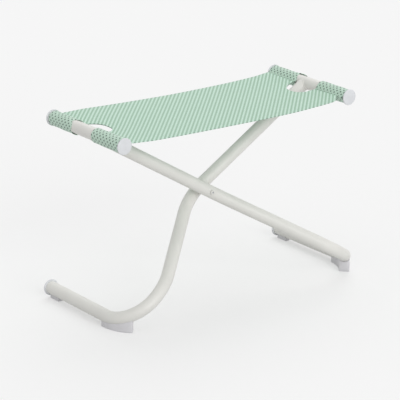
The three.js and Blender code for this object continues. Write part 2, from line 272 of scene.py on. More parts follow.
def turned_rings(
    skin: Skin, centre: Vector, axis: Vector, profile: Profile, sides: int
) -> list[list[int]]:
    """Add rings round an axis, for caps, bolts, nuts and spacers.

    Args:
        skin: The mesh that they are added to.
        centre: Where the axis starts.
        axis: The axis's unit direction.
        profile: For each ring its height along the axis, and its radius or a function of the angle.
        sides: How many points each ring has.

    Returns:
        The rings' point numbers.
    """
    across = UP.cross(axis).normalized()
    up = axis.cross(across)
    rings = []
    for height, reach in profile:
        ring = []
        for k in range(sides):
            angle = 2 * math.pi * k / sides
            radius = reach(angle) if callable(reach) else reach
            ring.append(centre + height * axis + radius * (math.cos(angle) * across + math.sin(angle) * up))
        rings.append(skin.row(ring))
    return rings


def rounded_corner(
    centre: tuple[float, float], radius: float, start: float, end: float, steps: int
) -> list[tuple[float, float]]:
    """Give the points of an arc in a profile.

    Args:
        centre: The arc's centre, as radius and height.
        radius: The arc's radius.
        start: Its first angle, in degrees.
        end: Its last angle, in degrees.
        steps: How many steps it takes.

    Returns:
        The points as height and radius, for turned_rings.
    """
    found = []
    for k in range(steps + 1):
        angle = math.radians(start + (end - start) * k / steps)
        found.append((centre[1] + radius * math.sin(angle), centre[0] + radius * math.cos(angle)))
    return found


# Finishes


class NodeDesk:
    """Short calls for laying out the nodes of a material or of the world.

    A Mix node keeps the sockets of its share and its colours at the places named here.
    """

    mix_inputs = (0, 6, 7)
    mix_output = 2

    def __init__(self, owner: Material | bpy.types.World) -> None:
        """Start on the nodes of their owner.

        Args:
            owner: What the nodes belong to.
        """
        owner.use_nodes = True
        self.nodes = owner.node_tree.nodes
        self.links = owner.node_tree.links

    def add(self, kind: str, **settings: object) -> bpy.types.Node:
        """Add a node.

        Args:
            kind: The node's type.
            **settings: Its properties.

        Returns:
            The node.
        """
        node = self.nodes.new(kind)
        for key, value in settings.items():
            setattr(node, key, value)
        return node

    def feed(self, socket: Socket, value: object) -> None:
        """Put a link or a plain value into an input.

        Args:
            socket: The input.
            value: An output to link, or a number, colour or vector.
        """
        if isinstance(value, Socket):
            self.links.new(value, socket)
        else:
            socket.default_value = value

    def math(self, operation: str, *values: Number) -> Socket:
        """Add a Math node.

        Args:
            operation: Which sum it does.
            *values: Its inputs.

        Returns:
            Its output.
        """
        node = self.add("ShaderNodeMath", operation=operation)
        for socket, value in zip(node.inputs, values):
            self.feed(socket, value)
        return node.outputs[0]

    def spread(self, value: Number, low: float, high: float, to_low: float, to_high: float) -> Socket:
        """Map a number from one range smoothly to another.

        Args:
            value: The number.
            low: Where its range starts.
            high: Where its range ends.
            to_low: The result at low.
            to_high: The result at high.

        Returns:
            The mapped number.
        """
        node = self.add("ShaderNodeMapRange", interpolation_type="SMOOTHSTEP", clamp=True)
        for socket, number in zip(node.inputs, (value, low, high, to_low, to_high)):
            self.feed(socket, number)
        return node.outputs[0]

    def mix(self, share: Number, first: object, second: object) -> Socket:
        """Mix two colours.

        Args:
            share: How much of the second colour.
            first: The colour at 0.
            second: The colour at 1.

        Returns:
            The mixed colour.
        """
        node = self.add("ShaderNodeMix", data_type="RGBA")
        for place, value in zip(self.mix_inputs, (share, first, second)):
            self.feed(node.inputs[place], value)
        return node.outputs[self.mix_output]

    def noise(self, scale: float, detail: float = 2.0) -> Socket:
        """Give noise that is fixed to the piece.

        Args:
            scale: How many cells to a metre.
            detail: How many finer layers it has.

        Returns:
            The noise, from 0 to 1.
        """
        node = self.add("ShaderNodeTexNoise")
        self.feed(node.inputs["Vector"], self.add("ShaderNodeTexCoord").outputs["Object"])
        self.feed(node.inputs["Scale"], scale)
        self.feed(node.inputs["Detail"], detail)
        return node.outputs[0]

    def watched(self) -> Socket:
        """Say whether a ray comes from the camera, from a reflection or through glass.

        Returns:
            1 where it does, and 0 elsewhere.
        """
        paths = self.add("ShaderNodeLightPath").outputs
        reflected = self.math("MAXIMUM", paths["Is Glossy Ray"], paths["Is Transmission Ray"])
        return self.math("MAXIMUM", paths["Is Camera Ray"], reflected)


class FinishDesk(NodeDesk):
    """The nodes of one finish, round its shader."""

    def __init__(self, name: str) -> None:
        """Start a material with its own shader.

        Args:
            name: The material's name.
        """
        self.material = bpy.data.materials.new(name)
        super().__init__(self.material)
        self.shader = self.nodes["Principled BSDF"]

    def put(self, name: str, value: object) -> None:
        """Feed one input of the shader."""
        self.feed(self.shader.inputs[name], value)

    def cloud(self, noise: Socket, edge: float, colour: Colour, tint_share: float) -> None:
        """Let the colour drift between its own tone and a darker one.

        Args:
            noise: Where it drifts.
            edge: How far from either end the noise starts to count.
            colour: The colour, as a screen shows it.
            tint_share: The darker tone's share of it.
        """
        share = self.spread(noise, edge, 1 - edge, 0.0, 1.0)
        self.put("Base Color", self.mix(share, shade(colour), shade(colour, tint_share)))

    def roughen(self, noise: Socket, edge: float, roughness: Span) -> None:
        """Let the roughness follow a noise, which starts to count at an edge from either end."""
        self.put("Roughness", self.spread(noise, edge, 1 - edge, *roughness))

    def bump(self, height: Number, strength: float, depth: float) -> None:
        """Give the surface its relief.

        Args:
            height: The relief.
            strength: How strongly it shows.
            depth: How deep it is, in metres.
        """
        node = self.add("ShaderNodeBump")
        self.feed(node.inputs["Strength"], strength)
        self.feed(node.inputs["Distance"], depth)
        self.feed(node.inputs["Height"], height)
        self.put("Normal", node.outputs[0])


def shade(colour: Sequence[float], factor: float = 1.0) -> tuple[float, float, float, float]:
    """Turn a screen colour into a linear one, by the fixed curve of screens.

    Args:
        colour: Red, green and blue from 0 to 255, as a screen shows them.
        factor: How much lighter or darker it becomes.

    Returns:
        The linear colour with full opacity.
    """
    linear = []
    for part in colour:
        share = part / 255
        value = share / 12.92 if share <= 0.04045 else ((share + 0.055) / 1.055) ** 2.4
        linear.append(value * factor)
    return (linear[0], linear[1], linear[2], 1.0)


@dataclass(frozen=True)
class PowderCoat:
    """The frame's baked paint: warm off-white, with a fine orange peel."""

    colour: Colour = (231, 230, 225)
    tint_share: float = 0.965
    cloud_cells: float = 17.0
    cloud_detail: float = 3.0
    cloud_edge: float = 0.35
    peel_cells: float = 950.0
    peel_edge: float = 0.3
    peel_strength: float = 0.5
    peel_depth: float = 0.00012
    roughness: Span = (0.36, 0.46)

    def material(self) -> Material:
        """Build the paint's material.

        Returns:
            The material.
        """
        desk = FinishDesk("powder_coat")
        clouds = desk.noise(self.cloud_cells, self.cloud_detail)
        desk.cloud(clouds, self.cloud_edge, self.colour, self.tint_share)
        peel = desk.noise(self.peel_cells)
        desk.roughen(peel, self.peel_edge, self.roughness)
        desk.bump(peel, self.peel_strength, self.peel_depth)
        return desk.material


@dataclass(frozen=True)
class MouldedPlastic:
    """The plastic of caps, feet and spacer, with the fine grain of a moulding tool."""

    name: str
    colour: Colour
    tint_share: float = 0.95
    cloud_cells: float = 60.0
    cloud_edge: float = 0.3
    grain_cells: float = 2400.0
    grain_detail: float = 1.0
    grain_edge: float = 0.3
    grain_strength: float = 0.5
    grain_depth: float = 0.00006
    roughness: Span = (0.42, 0.58)

    def material(self) -> Material:
        """Build the plastic's material.

        Returns:
            The material.
        """
        desk = FinishDesk(self.name)
        desk.cloud(desk.noise(self.cloud_cells), self.cloud_edge, self.colour, self.tint_share)
        grain = desk.noise(self.grain_cells, self.grain_detail)
        desk.roughen(grain, self.grain_edge, self.roughness)
        desk.bump(grain, self.grain_strength, self.grain_depth)
        return desk.material


@dataclass(frozen=True)
class ZincPlate:
    """The plated steel of bolt, washer, nut and crush sleeves."""

    colour: Colour = (196, 198, 200)
    tint_share: float = 0.88
    cloud_cells: float = 380.0
    cloud_detail: float = 3.0
    cloud_edge: float = 0.3
    relief_strength: float = 0.2
    relief_depth: float = 0.00004
    roughness: Span = (0.26, 0.4)

    def material(self) -> Material:
        """Build the plating's material.

        Returns:
            The material.
        """
        desk = FinishDesk("zinc_plate")
        clouds = desk.noise(self.cloud_cells, self.cloud_detail)
        desk.cloud(clouds, self.cloud_edge, self.colour, self.tint_share)
        desk.roughen(clouds, self.cloud_edge, self.roughness)
        desk.put("Metallic", 1.0)
        desk.bump(clouds, self.relief_strength, self.relief_depth)
        return desk.material


@dataclass(frozen=True)
class SewingThread:
    """The thread of the sling's seams, twisted from two strands, with painted shade in their grooves."""

    colour: Colour = (186, 214, 196)
    groove_shade_share: float = 0.8
    strand_cells: float = 620.0
    strand_strength: float = 0.6
    strand_depth: float = 0.0001
    roughness: float = 0.7

    def material(self) -> Material:
        """Build the thread's material.

        Returns:
            The material.
        """
        desk = FinishDesk("sewing_thread")
        strands = desk.add("ShaderNodeTexWave", bands_direction="DIAGONAL")
        desk.feed(strands.inputs["Vector"], desk.add("ShaderNodeTexCoord").outputs["Object"])
        desk.feed(strands.inputs["Scale"], self.strand_cells)
        twist = strands.outputs["Fac"]
        # Painted shade: the grooves between the strands take a darker tone.
        desk.put("Base Color", desk.mix(twist, shade(self.colour, self.groove_shade_share), shade(self.colour)))
        desk.put("Roughness", self.roughness)
        desk.bump(twist, self.strand_strength, self.strand_depth)
        return desk.material


@dataclass(frozen=True)
class MeshCloth:
    """The coated mesh of the sling. One face shows slanting stripes, the other rows of dark dots.

    The pattern is laid out on the flat cloth, in metres: u crosses the sling from rail to rail, and v
    runs along the rails. A stripe's edge is given in repeats from its middle, and a dot's in shares of
    its half width. Where the weave is lower than the gap height, painted shade darkens the colour
    towards the gap share, in the gaps between the yarns.
    """

    name: str
    face: Face
    light: Colour = (203, 231, 215)
    sage: Colour = (156, 194, 169)
    ground: Colour = (200, 226, 209)
    dark: Colour = (54, 88, 70)
    repeat_u: float = 9.7 * MM
    repeat_v: float = 10.4 * MM
    dot_repeat_u: float = 9.9 * MM
    yarns_per_repeat: int = 8
    stripe_phase: float = 0.79
    stripe_edge: Span = (0.21, 0.27)
    dot_half_u: float = 1.5 * MM
    dot_half_v: float = 1.9 * MM
    dot_start_u: float = 1.95 * MM
    dot_start_v: float = 5.8 * MM
    dot_edge: Span = (0.95, 1.03)
    gap_shade_height: float = 0.45
    gap_shade_share: float = 0.8
    roughness: Span = (0.78, 0.6)
    sheen: float = 0.12
    sheen_roughness: float = 0.5
    weave_strength: float = 0.55
    weave_depth: float = 0.00025

    def material(self) -> Material:
        """Build the cloth's material.

        Returns:
            The material.
        """
        desk = FinishDesk(self.name)
        place = desk.add("ShaderNodeUVMap", uv_map=CLOTH_MAP).outputs[0]
        split = desk.add("ShaderNodeSeparateXYZ")
        desk.feed(split.inputs[0], place)
        u, v = split.outputs[0], split.outputs[1]
        repeat_u, pattern = self.repeat_u, self.stripes
        if self.face is Face.DOTS:
            repeat_u, pattern = self.dot_repeat_u, self.dots
            u = desk.math("SUBTRACT", desk.math("ABSOLUTE", u), self.dot_start_u)
            v = desk.math("SUBTRACT", v, self.dot_start_v)
        yarn_u, yarn_v = repeat_u / self.yarns_per_repeat, self.repeat_v / self.yarns_per_repeat
        weave = self.weave(desk, desk.math("DIVIDE", u, yarn_u), desk.math("DIVIDE", v, yarn_v))
        colour = pattern(desk, self.stepped(desk, u, yarn_u), self.stepped(desk, v, yarn_v))
        # Painted shade: the colour darkens in the gaps between the yarns.
        gap_shaded = desk.add("ShaderNodeVectorMath", operation="SCALE")
        desk.feed(gap_shaded.inputs[0], colour)
        desk.feed(gap_shaded.inputs["Scale"], desk.spread(weave, 0.0, self.gap_shade_height, self.gap_shade_share, 1.0))
        desk.put("Base Color", gap_shaded.outputs[0])
        desk.roughen(weave, 0.0, self.roughness)
        desk.put("Sheen Weight", self.sheen)
        desk.put("Sheen Roughness", self.sheen_roughness)
        desk.bump(weave, self.weave_strength, self.weave_depth)
        return desk.material

    def stepped(self, desk: NodeDesk, along: Number, yarn: float) -> Socket:
        """Hold a distance at the middle of the yarn that it falls on.

        Args:
            desk: The material's nodes.
            along: A distance on the flat cloth.
            yarn: The yarn's width.

        Returns:
            The distance in steps of one yarn.
        """
        return desk.math("MULTIPLY", desk.math("ROUND", desk.math("DIVIDE", along, yarn)), yarn)

    def weave(self, desk: NodeDesk, u: Number, v: Number) -> Socket:
        """Give the height of the plain weave, where yarns pass over and under each other.

        Args:
            desk: The material's nodes.
            u: The number of yarns across the sling.
            v: The number of yarns along the rails.

        Returns:
            The height, from 0 in the gaps to 1 on the crowns.
        """
        crowns = []
        for yarns in (u, v):
            wave = desk.math("COSINE", desk.math("MULTIPLY", yarns, math.pi))
            crowns.append(desk.math("SQRT", desk.math("ABSOLUTE", wave)))
        return desk.math("MULTIPLY", *crowns)

    def stripes(self, desk: NodeDesk, u: Number, v: Number) -> Socket:
        """Colour the striped face.

        Args:
            desk: The material's nodes.
            u: The stepped distance across the sling.
            v: The stepped distance along the rails.

        Returns:
            The colour.
        """
        across = desk.math("DIVIDE", u, self.repeat_u)
        along = desk.math("DIVIDE", v, self.repeat_v)
        slant = desk.math("SUBTRACT", across, along)
        turn = desk.math("FRACT", desk.math("ADD", slant, self.stripe_phase))
        apart = desk.math("ABSOLUTE", desk.math("SUBTRACT", turn, 0.5))
        share = desk.spread(apart, *self.stripe_edge, 1.0, 0.0)
        return desk.mix(share, shade(self.light), shade(self.sage))

    def dots(self, desk: NodeDesk, u: Number, v: Number) -> Socket:
        """Colour the dotted face.

        Args:
            desk: The material's nodes.
            u: The stepped distance across the sling.
            v: The stepped distance along the rails.

        Returns:
            The colour.
        """
        lattices = [self.from_dot(desk, u, v, shift) for shift in (0.0, 0.5)]
        share = desk.spread(desk.math("MINIMUM", *lattices), *self.dot_edge, 1.0, 0.0)
        return desk.mix(share, shade(self.ground), shade(self.dark))

    def from_dot(self, desk: NodeDesk, u: Number, v: Number, shift: float) -> Socket:
        """Measure how far a point is from the nearest dot of one lattice.

        Args:
            desk: The material's nodes.
            u: The distance across the sling.
            v: The distance along the rails.
            shift: How far the lattice is shifted, in repeats.

        Returns:
            The distance, where 1 is the dot's edge.
        """
        parts = []
        sizes = ((u, self.dot_repeat_u, self.dot_half_u), (v, self.repeat_v, self.dot_half_v))
        for along, repeat, half in sizes:
            cell = desk.math("FRACT", desk.math("ADD", desk.math("DIVIDE", along, repeat), shift))
            off = desk.math("MULTIPLY", desk.math("SUBTRACT", cell, 0.5), repeat / half)
            parts.append(desk.math("MULTIPLY", off, off))
        return desk.math("SQRT", desk.math("ADD", *parts))


@dataclass(frozen=True)
class PaperGround:
    """The seamless pale ground that the footstool stands on.

    A glow of strength 1, which only the camera and reflections see, holds its seen tone steady.
    """

    seen: Colour = (248, 248, 248)
    bounced: Colour = (214, 214, 214)
    glow_share: float = 0.4
    roughness: float = 0.95

    def material(self) -> Material:
        """Build the ground's material, which still takes shadows.

        Returns:
            The material.
        """
        desk = FinishDesk("paper_ground")
        watched = desk.watched()
        desk.put("Base Color", desk.mix(watched, shade(self.bounced), shade(self.seen)))
        desk.put("Roughness", self.roughness)
        desk.put("Specular IOR Level", 0.0)
        glow = desk.add("ShaderNodeEmission")
        desk.feed(glow.inputs["Color"], WHITE)
        desk.feed(glow.inputs["Strength"], 1.0)
        steady = desk.add("ShaderNodeMixShader")
        desk.feed(steady.inputs[0], desk.math("MULTIPLY", watched, self.glow_share))
        desk.feed(steady.inputs[1], desk.shader.outputs[0])
        desk.feed(steady.inputs[2], glow.outputs[0])
        desk.feed(desk.nodes["Material Output"].inputs["Surface"], steady.outputs[0])
        return desk.material


@dataclass
class Palette:
    """Every finish of the footstool, each built once."""

    paint: Material
    cap: Material
    foot: Material
    spacer: Material
    zinc: Material
    thread: Material
    stripes: Material
    dots: Material
    # Darker sage along the free edges: partly edge marks in the cloth, partly painted shade.
    rim: Material
    # The hem's edge faces, whose darker ground is painted shade.
    hem: Material

    @classmethod
    def mixed(cls) -> Palette:
        """Build the finishes.

        Returns:
            The finishes.
        """
        return cls(
            paint=PowderCoat().material(),
            cap=MouldedPlastic("cap_plastic", colour=(226, 228, 231)).material(),
            foot=MouldedPlastic("foot_plastic", colour=(222, 221, 224)).material(),
            spacer=MouldedPlastic("spacer_nylon", colour=(208, 208, 204)).material(),
            zinc=ZincPlate().material(),
            thread=SewingThread().material(),
            stripes=MeshCloth("mesh_cloth_striped", Face.STRIPES).material(),
            dots=MeshCloth("mesh_cloth_dotted", Face.DOTS).material(),
            # Darker sage along the free edges: partly edge marks in the cloth, partly painted shade.
            rim=MeshCloth("mesh_cloth_rim_marks_and_shade", Face.STRIPES, sage=(126, 160, 138)).material(),
            # The hem's edge faces, whose darker ground is painted shade.
            hem=MeshCloth("mesh_cloth_hem", Face.DOTS, ground=(112, 142, 122)).material(),
        )


# The frame's axes


def box_of(node: str) -> tuple[Vector, Vector]:
    """Give a node's lowest and highest corners at rest."""
    low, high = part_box(node)
    return Vector(low), Vector(high)


@dataclass
class Layout:
    """Where the frame's axes lie, and the sizes that several sub-assemblies share."""

    centre_y: float
    rail_half_spacing: float
    rail_height: float
    rail_half_length: float
    floor_half_spacing: float
    floor_height: float
    tube_radius: float = 12.5 * MM
    tube_bore: float = 11.0 * MM
    tube_sides: int = 48
    pivot_height: float = 0.19537

    @classmethod
    def measured(cls) -> Layout:
        """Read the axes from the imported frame.

        Returns:
            The axes.
        """
        rail_low, rail_high = box_of("right_rail_tube")
        rail = (rail_low + rail_high) / 2
        cap_low, cap_high = box_of("front_leg_floor_cap")
        cap = (cap_low + cap_high) / 2
        return cls(
            centre_y=rail.y,
            rail_half_spacing=rail.x,
            rail_height=rail.z,
            rail_half_length=(rail_high.y - rail_low.y) / 2,
            floor_half_spacing=cap.x,
            floor_height=cap.z,
        )

    @property
    def reach(self) -> float:
        """The distance across from each floor tube to its leg's rail."""
        return self.rail_half_spacing + self.floor_half_spacing

    @property
    def slope(self) -> float:
        """The climb of each leg's plane, in radians."""
        return math.atan2(self.rail_height - self.floor_height, self.reach)

    @property
    def span(self) -> float:
        """The distance up each leg's plane from floor tube to rail."""
        return math.hypot(self.rail_height - self.floor_height, self.reach)

    @property
    def pivot_climb(self) -> float:
        """The distance up each leg's plane from floor tube to pivot."""
        return self.span * self.floor_half_spacing / self.reach


@dataclass(frozen=True)
class LegBend:
    """How one leg tube is bent in its plane. Turns are in degrees."""

    bend_start: float
    bend_radius: float
    bend_turn: float
    ease_radius: float
    upper_radius: float
    upper_bend_end: float


@dataclass(frozen=True)
class Station:
    """A place on a leg's centre line, in the leg's own plane. A heading of 0 points up the plane."""

    s: float
    y: float
    heading: float


@dataclass(frozen=True)
class Run:
    """A straight or evenly bent piece of a leg's centre line."""

    start: Station
    begins: float
    length: float
    turn: float

    def at(self, distance: float) -> Station:
        """Give a station of this piece.

        Args:
            distance: How far along the piece it lies.

        Returns:
            The station.
        """
        s, y, heading = self.start.s, self.start.y, self.start.heading
        if self.turn == 0:
            return Station(s + distance * math.cos(heading), y + distance * math.sin(heading), heading)
        turned = self.turn * distance / self.length
        radius = self.length / self.turn
        return Station(
            s + radius * (math.sin(heading + turned) - math.sin(heading)),
            y - radius * (math.cos(heading + turned) - math.cos(heading)),
            heading + turned,
        )


class LegRoute:
    """The centre line of one leg, from the far end of its floor run to its rail."""

    arc_step = math.radians(2.5)
    straight_step = 14 * MM
    end_gap = 2 * MM

    def __init__(self, layout: Layout, side: int, bend: LegBend, offset: float) -> None:
        """Lay out the pieces of the centre line.

        Args:
            layout: The frame's axes.
            side: Where the floor run is: -1 left, 1 right.
            bend: How the tube is bent.
            offset: The place along the rail of the leg's upper end.
        """
        self.layout = layout
        self.side = side
        self.runs: list[Run] = []
        self.end = Station(0.0, layout.rail_half_length, -math.pi / 2)
        self.length = 0.0
        self.add(layout.rail_half_length - bend.bend_start, 0.0)
        turn = math.radians(bend.bend_turn)
        self.add(bend.bend_radius * turn, turn)
        s, y, heading = self.end.s, self.end.y, self.end.heading
        across = layout.pivot_climb + bend.upper_bend_end - (s - bend.ease_radius * math.sin(heading))
        along = offset - bend.upper_radius - (y + bend.ease_radius * math.cos(heading))
        apart = math.hypot(across, along)
        radii = bend.ease_radius + bend.upper_radius
        diagonal = math.atan2(along, across) + math.asin(radii / apart)
        self.add(bend.ease_radius * (diagonal - heading), diagonal - heading)
        self.add(math.sqrt(apart**2 - radii**2), 0.0)
        self.add(bend.upper_radius * diagonal, -diagonal)
        self.add(layout.span - self.end.s, 0.0)

    def add(self, length: float, turn: float) -> None:
        """Add a piece to the end of the centre line.

        Args:
            length: Its length.
            turn: How far it turns, in radians.
        """
        run = Run(self.end, self.length, length, turn)
        self.runs.append(run)
        self.length += length
        self.end = run.at(length)

    def station(self, distance: float) -> Station:
        """Give the station at a distance along the whole line."""
        run = [one for one in self.runs if one.begins <= distance][-1]
        return run.at(distance - run.begins)

    def stations(self, until: float) -> list[Station]:
        """Give close stations, as far as the line climbs to a place.

        Args:
            until: Where in the plane the last station lies.

        Returns:
            The stations in order.
        """
        found = [self.runs[0].start]
        for run in self.runs:
            by_turn = math.ceil(abs(run.turn) / self.arc_step)
            steps = max(by_turn, math.ceil(run.length / self.straight_step))
            found += [run.at(run.length * k / steps) for k in range(1, steps + 1)]
        kept = [one for one in found if one.s < until - self.end_gap]
        return kept + [Station(until, self.end.y, 0.0)]

    @property
    def climb(self) -> Vector:
        """The direction up the leg's plane."""
        slope = self.layout.slope
        return Vector((-self.side * math.cos(slope), 0.0, math.sin(slope)))

    @property
    def normal(self) -> Vector:
        """The direction square to the leg's plane."""
        return self.climb.cross(FAR)

    def point(self, one: Station) -> Vector:
        """Place a station in space.

        Args:
            one: A station of the leg's line.

        Returns:
            The point on the line.
        """
        floor_x = self.side * self.layout.floor_half_spacing
        foot = Vector((floor_x, self.layout.centre_y, self.layout.floor_height))
        return foot + one.s * self.climb + Vector((0.0, one.y, 0.0))

    def inward(self, one: Station) -> Vector:
        """Give the direction in the plane that is square to the line."""
        return -math.sin(one.heading) * self.climb + Vector((0.0, math.cos(one.heading), 0.0))

    def forward(self, one: Station) -> Vector:
        """Give the direction of the line."""
        return math.cos(one.heading) * self.climb + Vector((0.0, math.sin(one.heading), 0.0))


def report(piece: Piece) -> None:
    """Log one finished piece."""
    LOG.info("%s: %d points, %d faces", piece.name, len(piece.data.vertices), len(piece.data.polygons))


def settle(
    skin: Skin,
    name: str,
    finishes: Sequence[Material],
    body: str,
    stands_for: Sequence[str] = (),
) -> Piece:
    """Build a rigid piece, put it on its body and hide the nodes that it stands for.

    Args:
        skin: Its mesh.
        name: Its name.
        finishes: Its materials.
        body: The body that it rides on.
        stands_for: The nodes that it replaces.

    Returns:
        The finished piece.
    """
    piece = skin.build(name, finishes)
    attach(piece, body)
    if stands_for:
        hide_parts(*stands_for)
    report(piece)
    return piece


# Sub-assemblies


@dataclass(frozen=True)
class FootPlan:
    """Which foot it is, where it begins along the leg's centre line, its length and its width."""

    place: str
    begins: float
    length: float
    width: float


@dataclass
class Leg:
    """One bent leg: its tube, the weld at its rail, and its feet.

    The weld's ripple, least fullness, lift and sink are shares of its radius. The foot's ends are drawn
    in by foot_round, and by the knee's share of it at the knee's distance.
    """

    layout: Layout
    palette: Palette
    name: str
    body: str
    side: int
    bend: LegBend
    offset: float
    weld_radius: float = 1.4 * MM
    weld_ripple: float = 0.07
    weld_pitch: float = 1.9 * MM
    weld_sides: int = 10
    weld_steps: int = 240
    weld_corner: float = 0.12
    weld_least: float = 0.12
    weld_lift: float = 0.2
    weld_sink: float = 0.45
    foot_edge: float = 1.6 * MM
    foot_edge_steps: int = 4
    foot_clearance: float = 0.2 * MM
    foot_seat_steps: int = 12
    foot_seat_shrink: float = 0.6
    foot_round: float = 0.9 * MM
    foot_round_knee: Span = (0.35 * MM, 0.3)
    foot_steps: int = 22
    near_foot: FootPlan = FootPlan("near", begins=185 * MM, length=66 * MM, width=20 * MM)
    far_foot: FootPlan = FootPlan("far", begins=4 * MM, length=28 * MM, width=11 * MM)
    upper_gap: float = 1.0 * MM

    def __post_init__(self) -> None:
        """Lay out the leg's centre line."""
        self.route = LegRoute(self.layout, self.side, self.bend, self.offset)

    def build(self) -> None:
        """Build every piece of the leg."""
        self.build_tube()
        self.build_weld()
        self.build_foot(self.near_foot)
        self.build_foot(self.far_foot)

    def shell(self, skin: Skin, radius: float) -> list[list[int]]:
        """Add one wall of the tube, whose upper end meets the rail's surface.

        Args:
            skin: The tube's mesh.
            radius: The wall's radius.

        Returns:
            The wall's rings.
        """
        rail = self.layout.tube_radius
        sides = self.layout.tube_sides
        rings = []
        for one in self.route.stations(self.layout.span - rail - self.upper_gap):
            place = self.route.point(one)
            rings.append(skin.row(circle(place, self.route.inward(one), self.route.normal, radius, sides)))
        last = []
        for k in range(sides):
            angle = 2 * math.pi * k / sides
            beside = radius * math.sin(angle)
            reach = self.layout.span - math.sqrt(max(rail**2 - beside**2, 0.0))
            one = Station(reach, self.offset + radius * math.cos(angle), 0.0)
            last.append(self.route.point(one) + beside * self.route.normal)
        rings.append(skin.row(last))
        return rings

    def build_tube(self) -> None:
        """Build the bent tube with its wall thickness."""
        skin = Skin()
        outer = self.shell(skin, self.layout.tube_radius)
        inner = self.shell(skin, self.layout.tube_bore)
        skin.bridge_all(outer)
        skin.bridge_all(inner)
        skin.bridge(outer[0], inner[0])
        skin.bridge(outer[-1], inner[-1])
        nodes = [f"{self.name}_tube"]
        settle(skin, f"{self.name}_bent_tube", [self.palette.paint], self.body, nodes)

    def seam_place(self, angle: float) -> tuple[Vector, Vector]:
        """Give a place on the joint between leg and rail.

        Args:
            angle: How far round the leg, in radians.

        Returns:
            The place, and the direction outward between both surfaces.
        """
        radius = self.layout.tube_radius
        across, beside = math.cos(angle), math.sin(angle)
        drop = math.sqrt(across**2 + self.weld_corner**2)
        one = Station(self.layout.span - radius * drop, self.offset + radius * across, 0.0)
        place = self.route.point(one) + radius * beside * self.route.normal
        from_leg = Vector((0.0, across, 0.0)) + beside * self.route.normal
        from_rail = beside * self.route.normal - abs(across) * self.route.climb
        return place, (from_leg + from_rail).normalized()

    def weld_fullness(self, k: int) -> float:
        """Give the bead's share of its full radius, which is less where leg and rail touch in a tangent."""
        open_share = math.sqrt(abs(math.cos(2 * math.pi * k / self.weld_steps)))
        return self.weld_least + (1 - self.weld_least) * open_share

    def build_weld(self) -> None:
        """Build the rippled weld bead round the joint between leg and rail."""
        skin = Skin()
        places = [self.seam_place(2 * math.pi * k / self.weld_steps) for k in range(self.weld_steps)]
        travelled = 0.0
        rings = []
        for k, (place, outward) in enumerate(places):
            after = places[(k + 1) % len(places)][0]
            before = places[k - 1][0]
            along = (after - before).normalized()
            outward = (outward - outward.dot(along) * along).normalized()
            ripple = math.cos(2 * math.pi * travelled / self.weld_pitch)
            full = self.weld_fullness(k)
            radius = self.weld_radius * (1 + self.weld_ripple * ripple) * full
            lift = self.weld_lift - self.weld_sink * (1 - full)
            centre = place + self.weld_radius * lift * outward
            rings.append(skin.row(circle(centre, outward, along.cross(outward), radius, self.weld_sides)))
            travelled += (after - place).length
        skin.bridge_all(rings + [rings[0]])
        settle(skin, f"{self.name}_weld", [self.palette.paint], self.body)

    def foot_outline(self, width: float, one: Station, shrink: float) -> list[Vector]:
        """Give the foot's section below one station: flat below, hollowed above to the tube.

        Args:
            width: The foot's width.
            one: The station on the leg's centre line.
            shrink: How far the section is drawn in.

        Returns:
            The section's points in space.
        """
        place = self.route.point(one)
        forward = self.route.forward(one)
        in_plan = math.hypot(forward.x, forward.y)
        across = Vector((-forward.y / in_plan, forward.x / in_plan, 0.0))
        steep = forward.z / in_plan
        half = width / 2 - shrink
        edge = self.foot_edge
        section = []
        for centre, start in ((edge - half, 180), (half - edge, 270)):
            arc = rounded_corner((centre, shrink + edge), edge, start, start + 90, self.foot_edge_steps)
            section += [(off, z) for z, off in arc]
        seat = self.layout.tube_radius + self.foot_clearance
        for k in range(self.foot_seat_steps + 1):
            off = half - 2 * half * k / self.foot_seat_steps
            drop = math.sqrt(seat**2 - off**2) * math.hypot(1.0, steep)
            section.append((off, place.z - drop - shrink * self.foot_seat_shrink))
        ground = Vector((place.x, place.y, 0.0))
        return [ground + off * across + Vector((0.0, 0.0, z)) for off, z in section]

    def build_foot(self, plan: FootPlan) -> None:
        """Build one saddle foot that follows the tube.

        Args:
            plan: Which foot it is.
        """
        skin = Skin()
        knee, knee_share = self.foot_round_knee
        ends = [(0.0, self.foot_round), (knee, knee_share * self.foot_round), (self.foot_round, 0.0)]
        steps = self.foot_steps
        inner = plan.length - 2 * self.foot_round
        middle = [(self.foot_round + inner * k / steps, 0.0) for k in range(1, steps)]
        closing = [(plan.length - distance, shrink) for distance, shrink in reversed(ends)]
        rings = []
        for distance, shrink in ends + middle + closing:
            one = self.route.station(plan.begins + distance)
            rings.append(skin.row(self.foot_outline(plan.width, one, shrink)))
        skin.close_tube(rings)
        foot = f"{self.name}_{plan.place}"
        finishes = [self.palette.foot]
        settle(skin, f"{foot}_saddle_foot", finishes, self.body, [f"{foot}_foot"])


@dataclass
class Rail:
    """One straight top rail: an open tube along Y."""

    layout: Layout
    palette: Palette
    name: str
    body: str
    side: int
    sides: int = 64
    rows: int = 16

    def build(self) -> None:
        """Build the rail's tube with its wall thickness."""
        skin = Skin()
        walls = []
        reach = self.layout.rail_half_length
        for radius in (self.layout.tube_radius, self.layout.tube_bore):
            rings = []
            for k in range(self.rows + 1):
                y = self.layout.centre_y + reach * (2 * k / self.rows - 1)
                centre = Vector((self.side * self.layout.rail_half_spacing, y, self.layout.rail_height))
                rings.append(skin.row(circle(centre, ACROSS, UP, radius, self.sides)))
            skin.bridge_all(rings)
            walls.append(rings)
        skin.bridge(walls[0][0], walls[1][0])
        skin.bridge(walls[0][-1], walls[1][-1])
        nodes = [f"{self.name}_tube"]
        settle(skin, f"{self.name}_round_rail", [self.palette.paint], self.body, nodes)


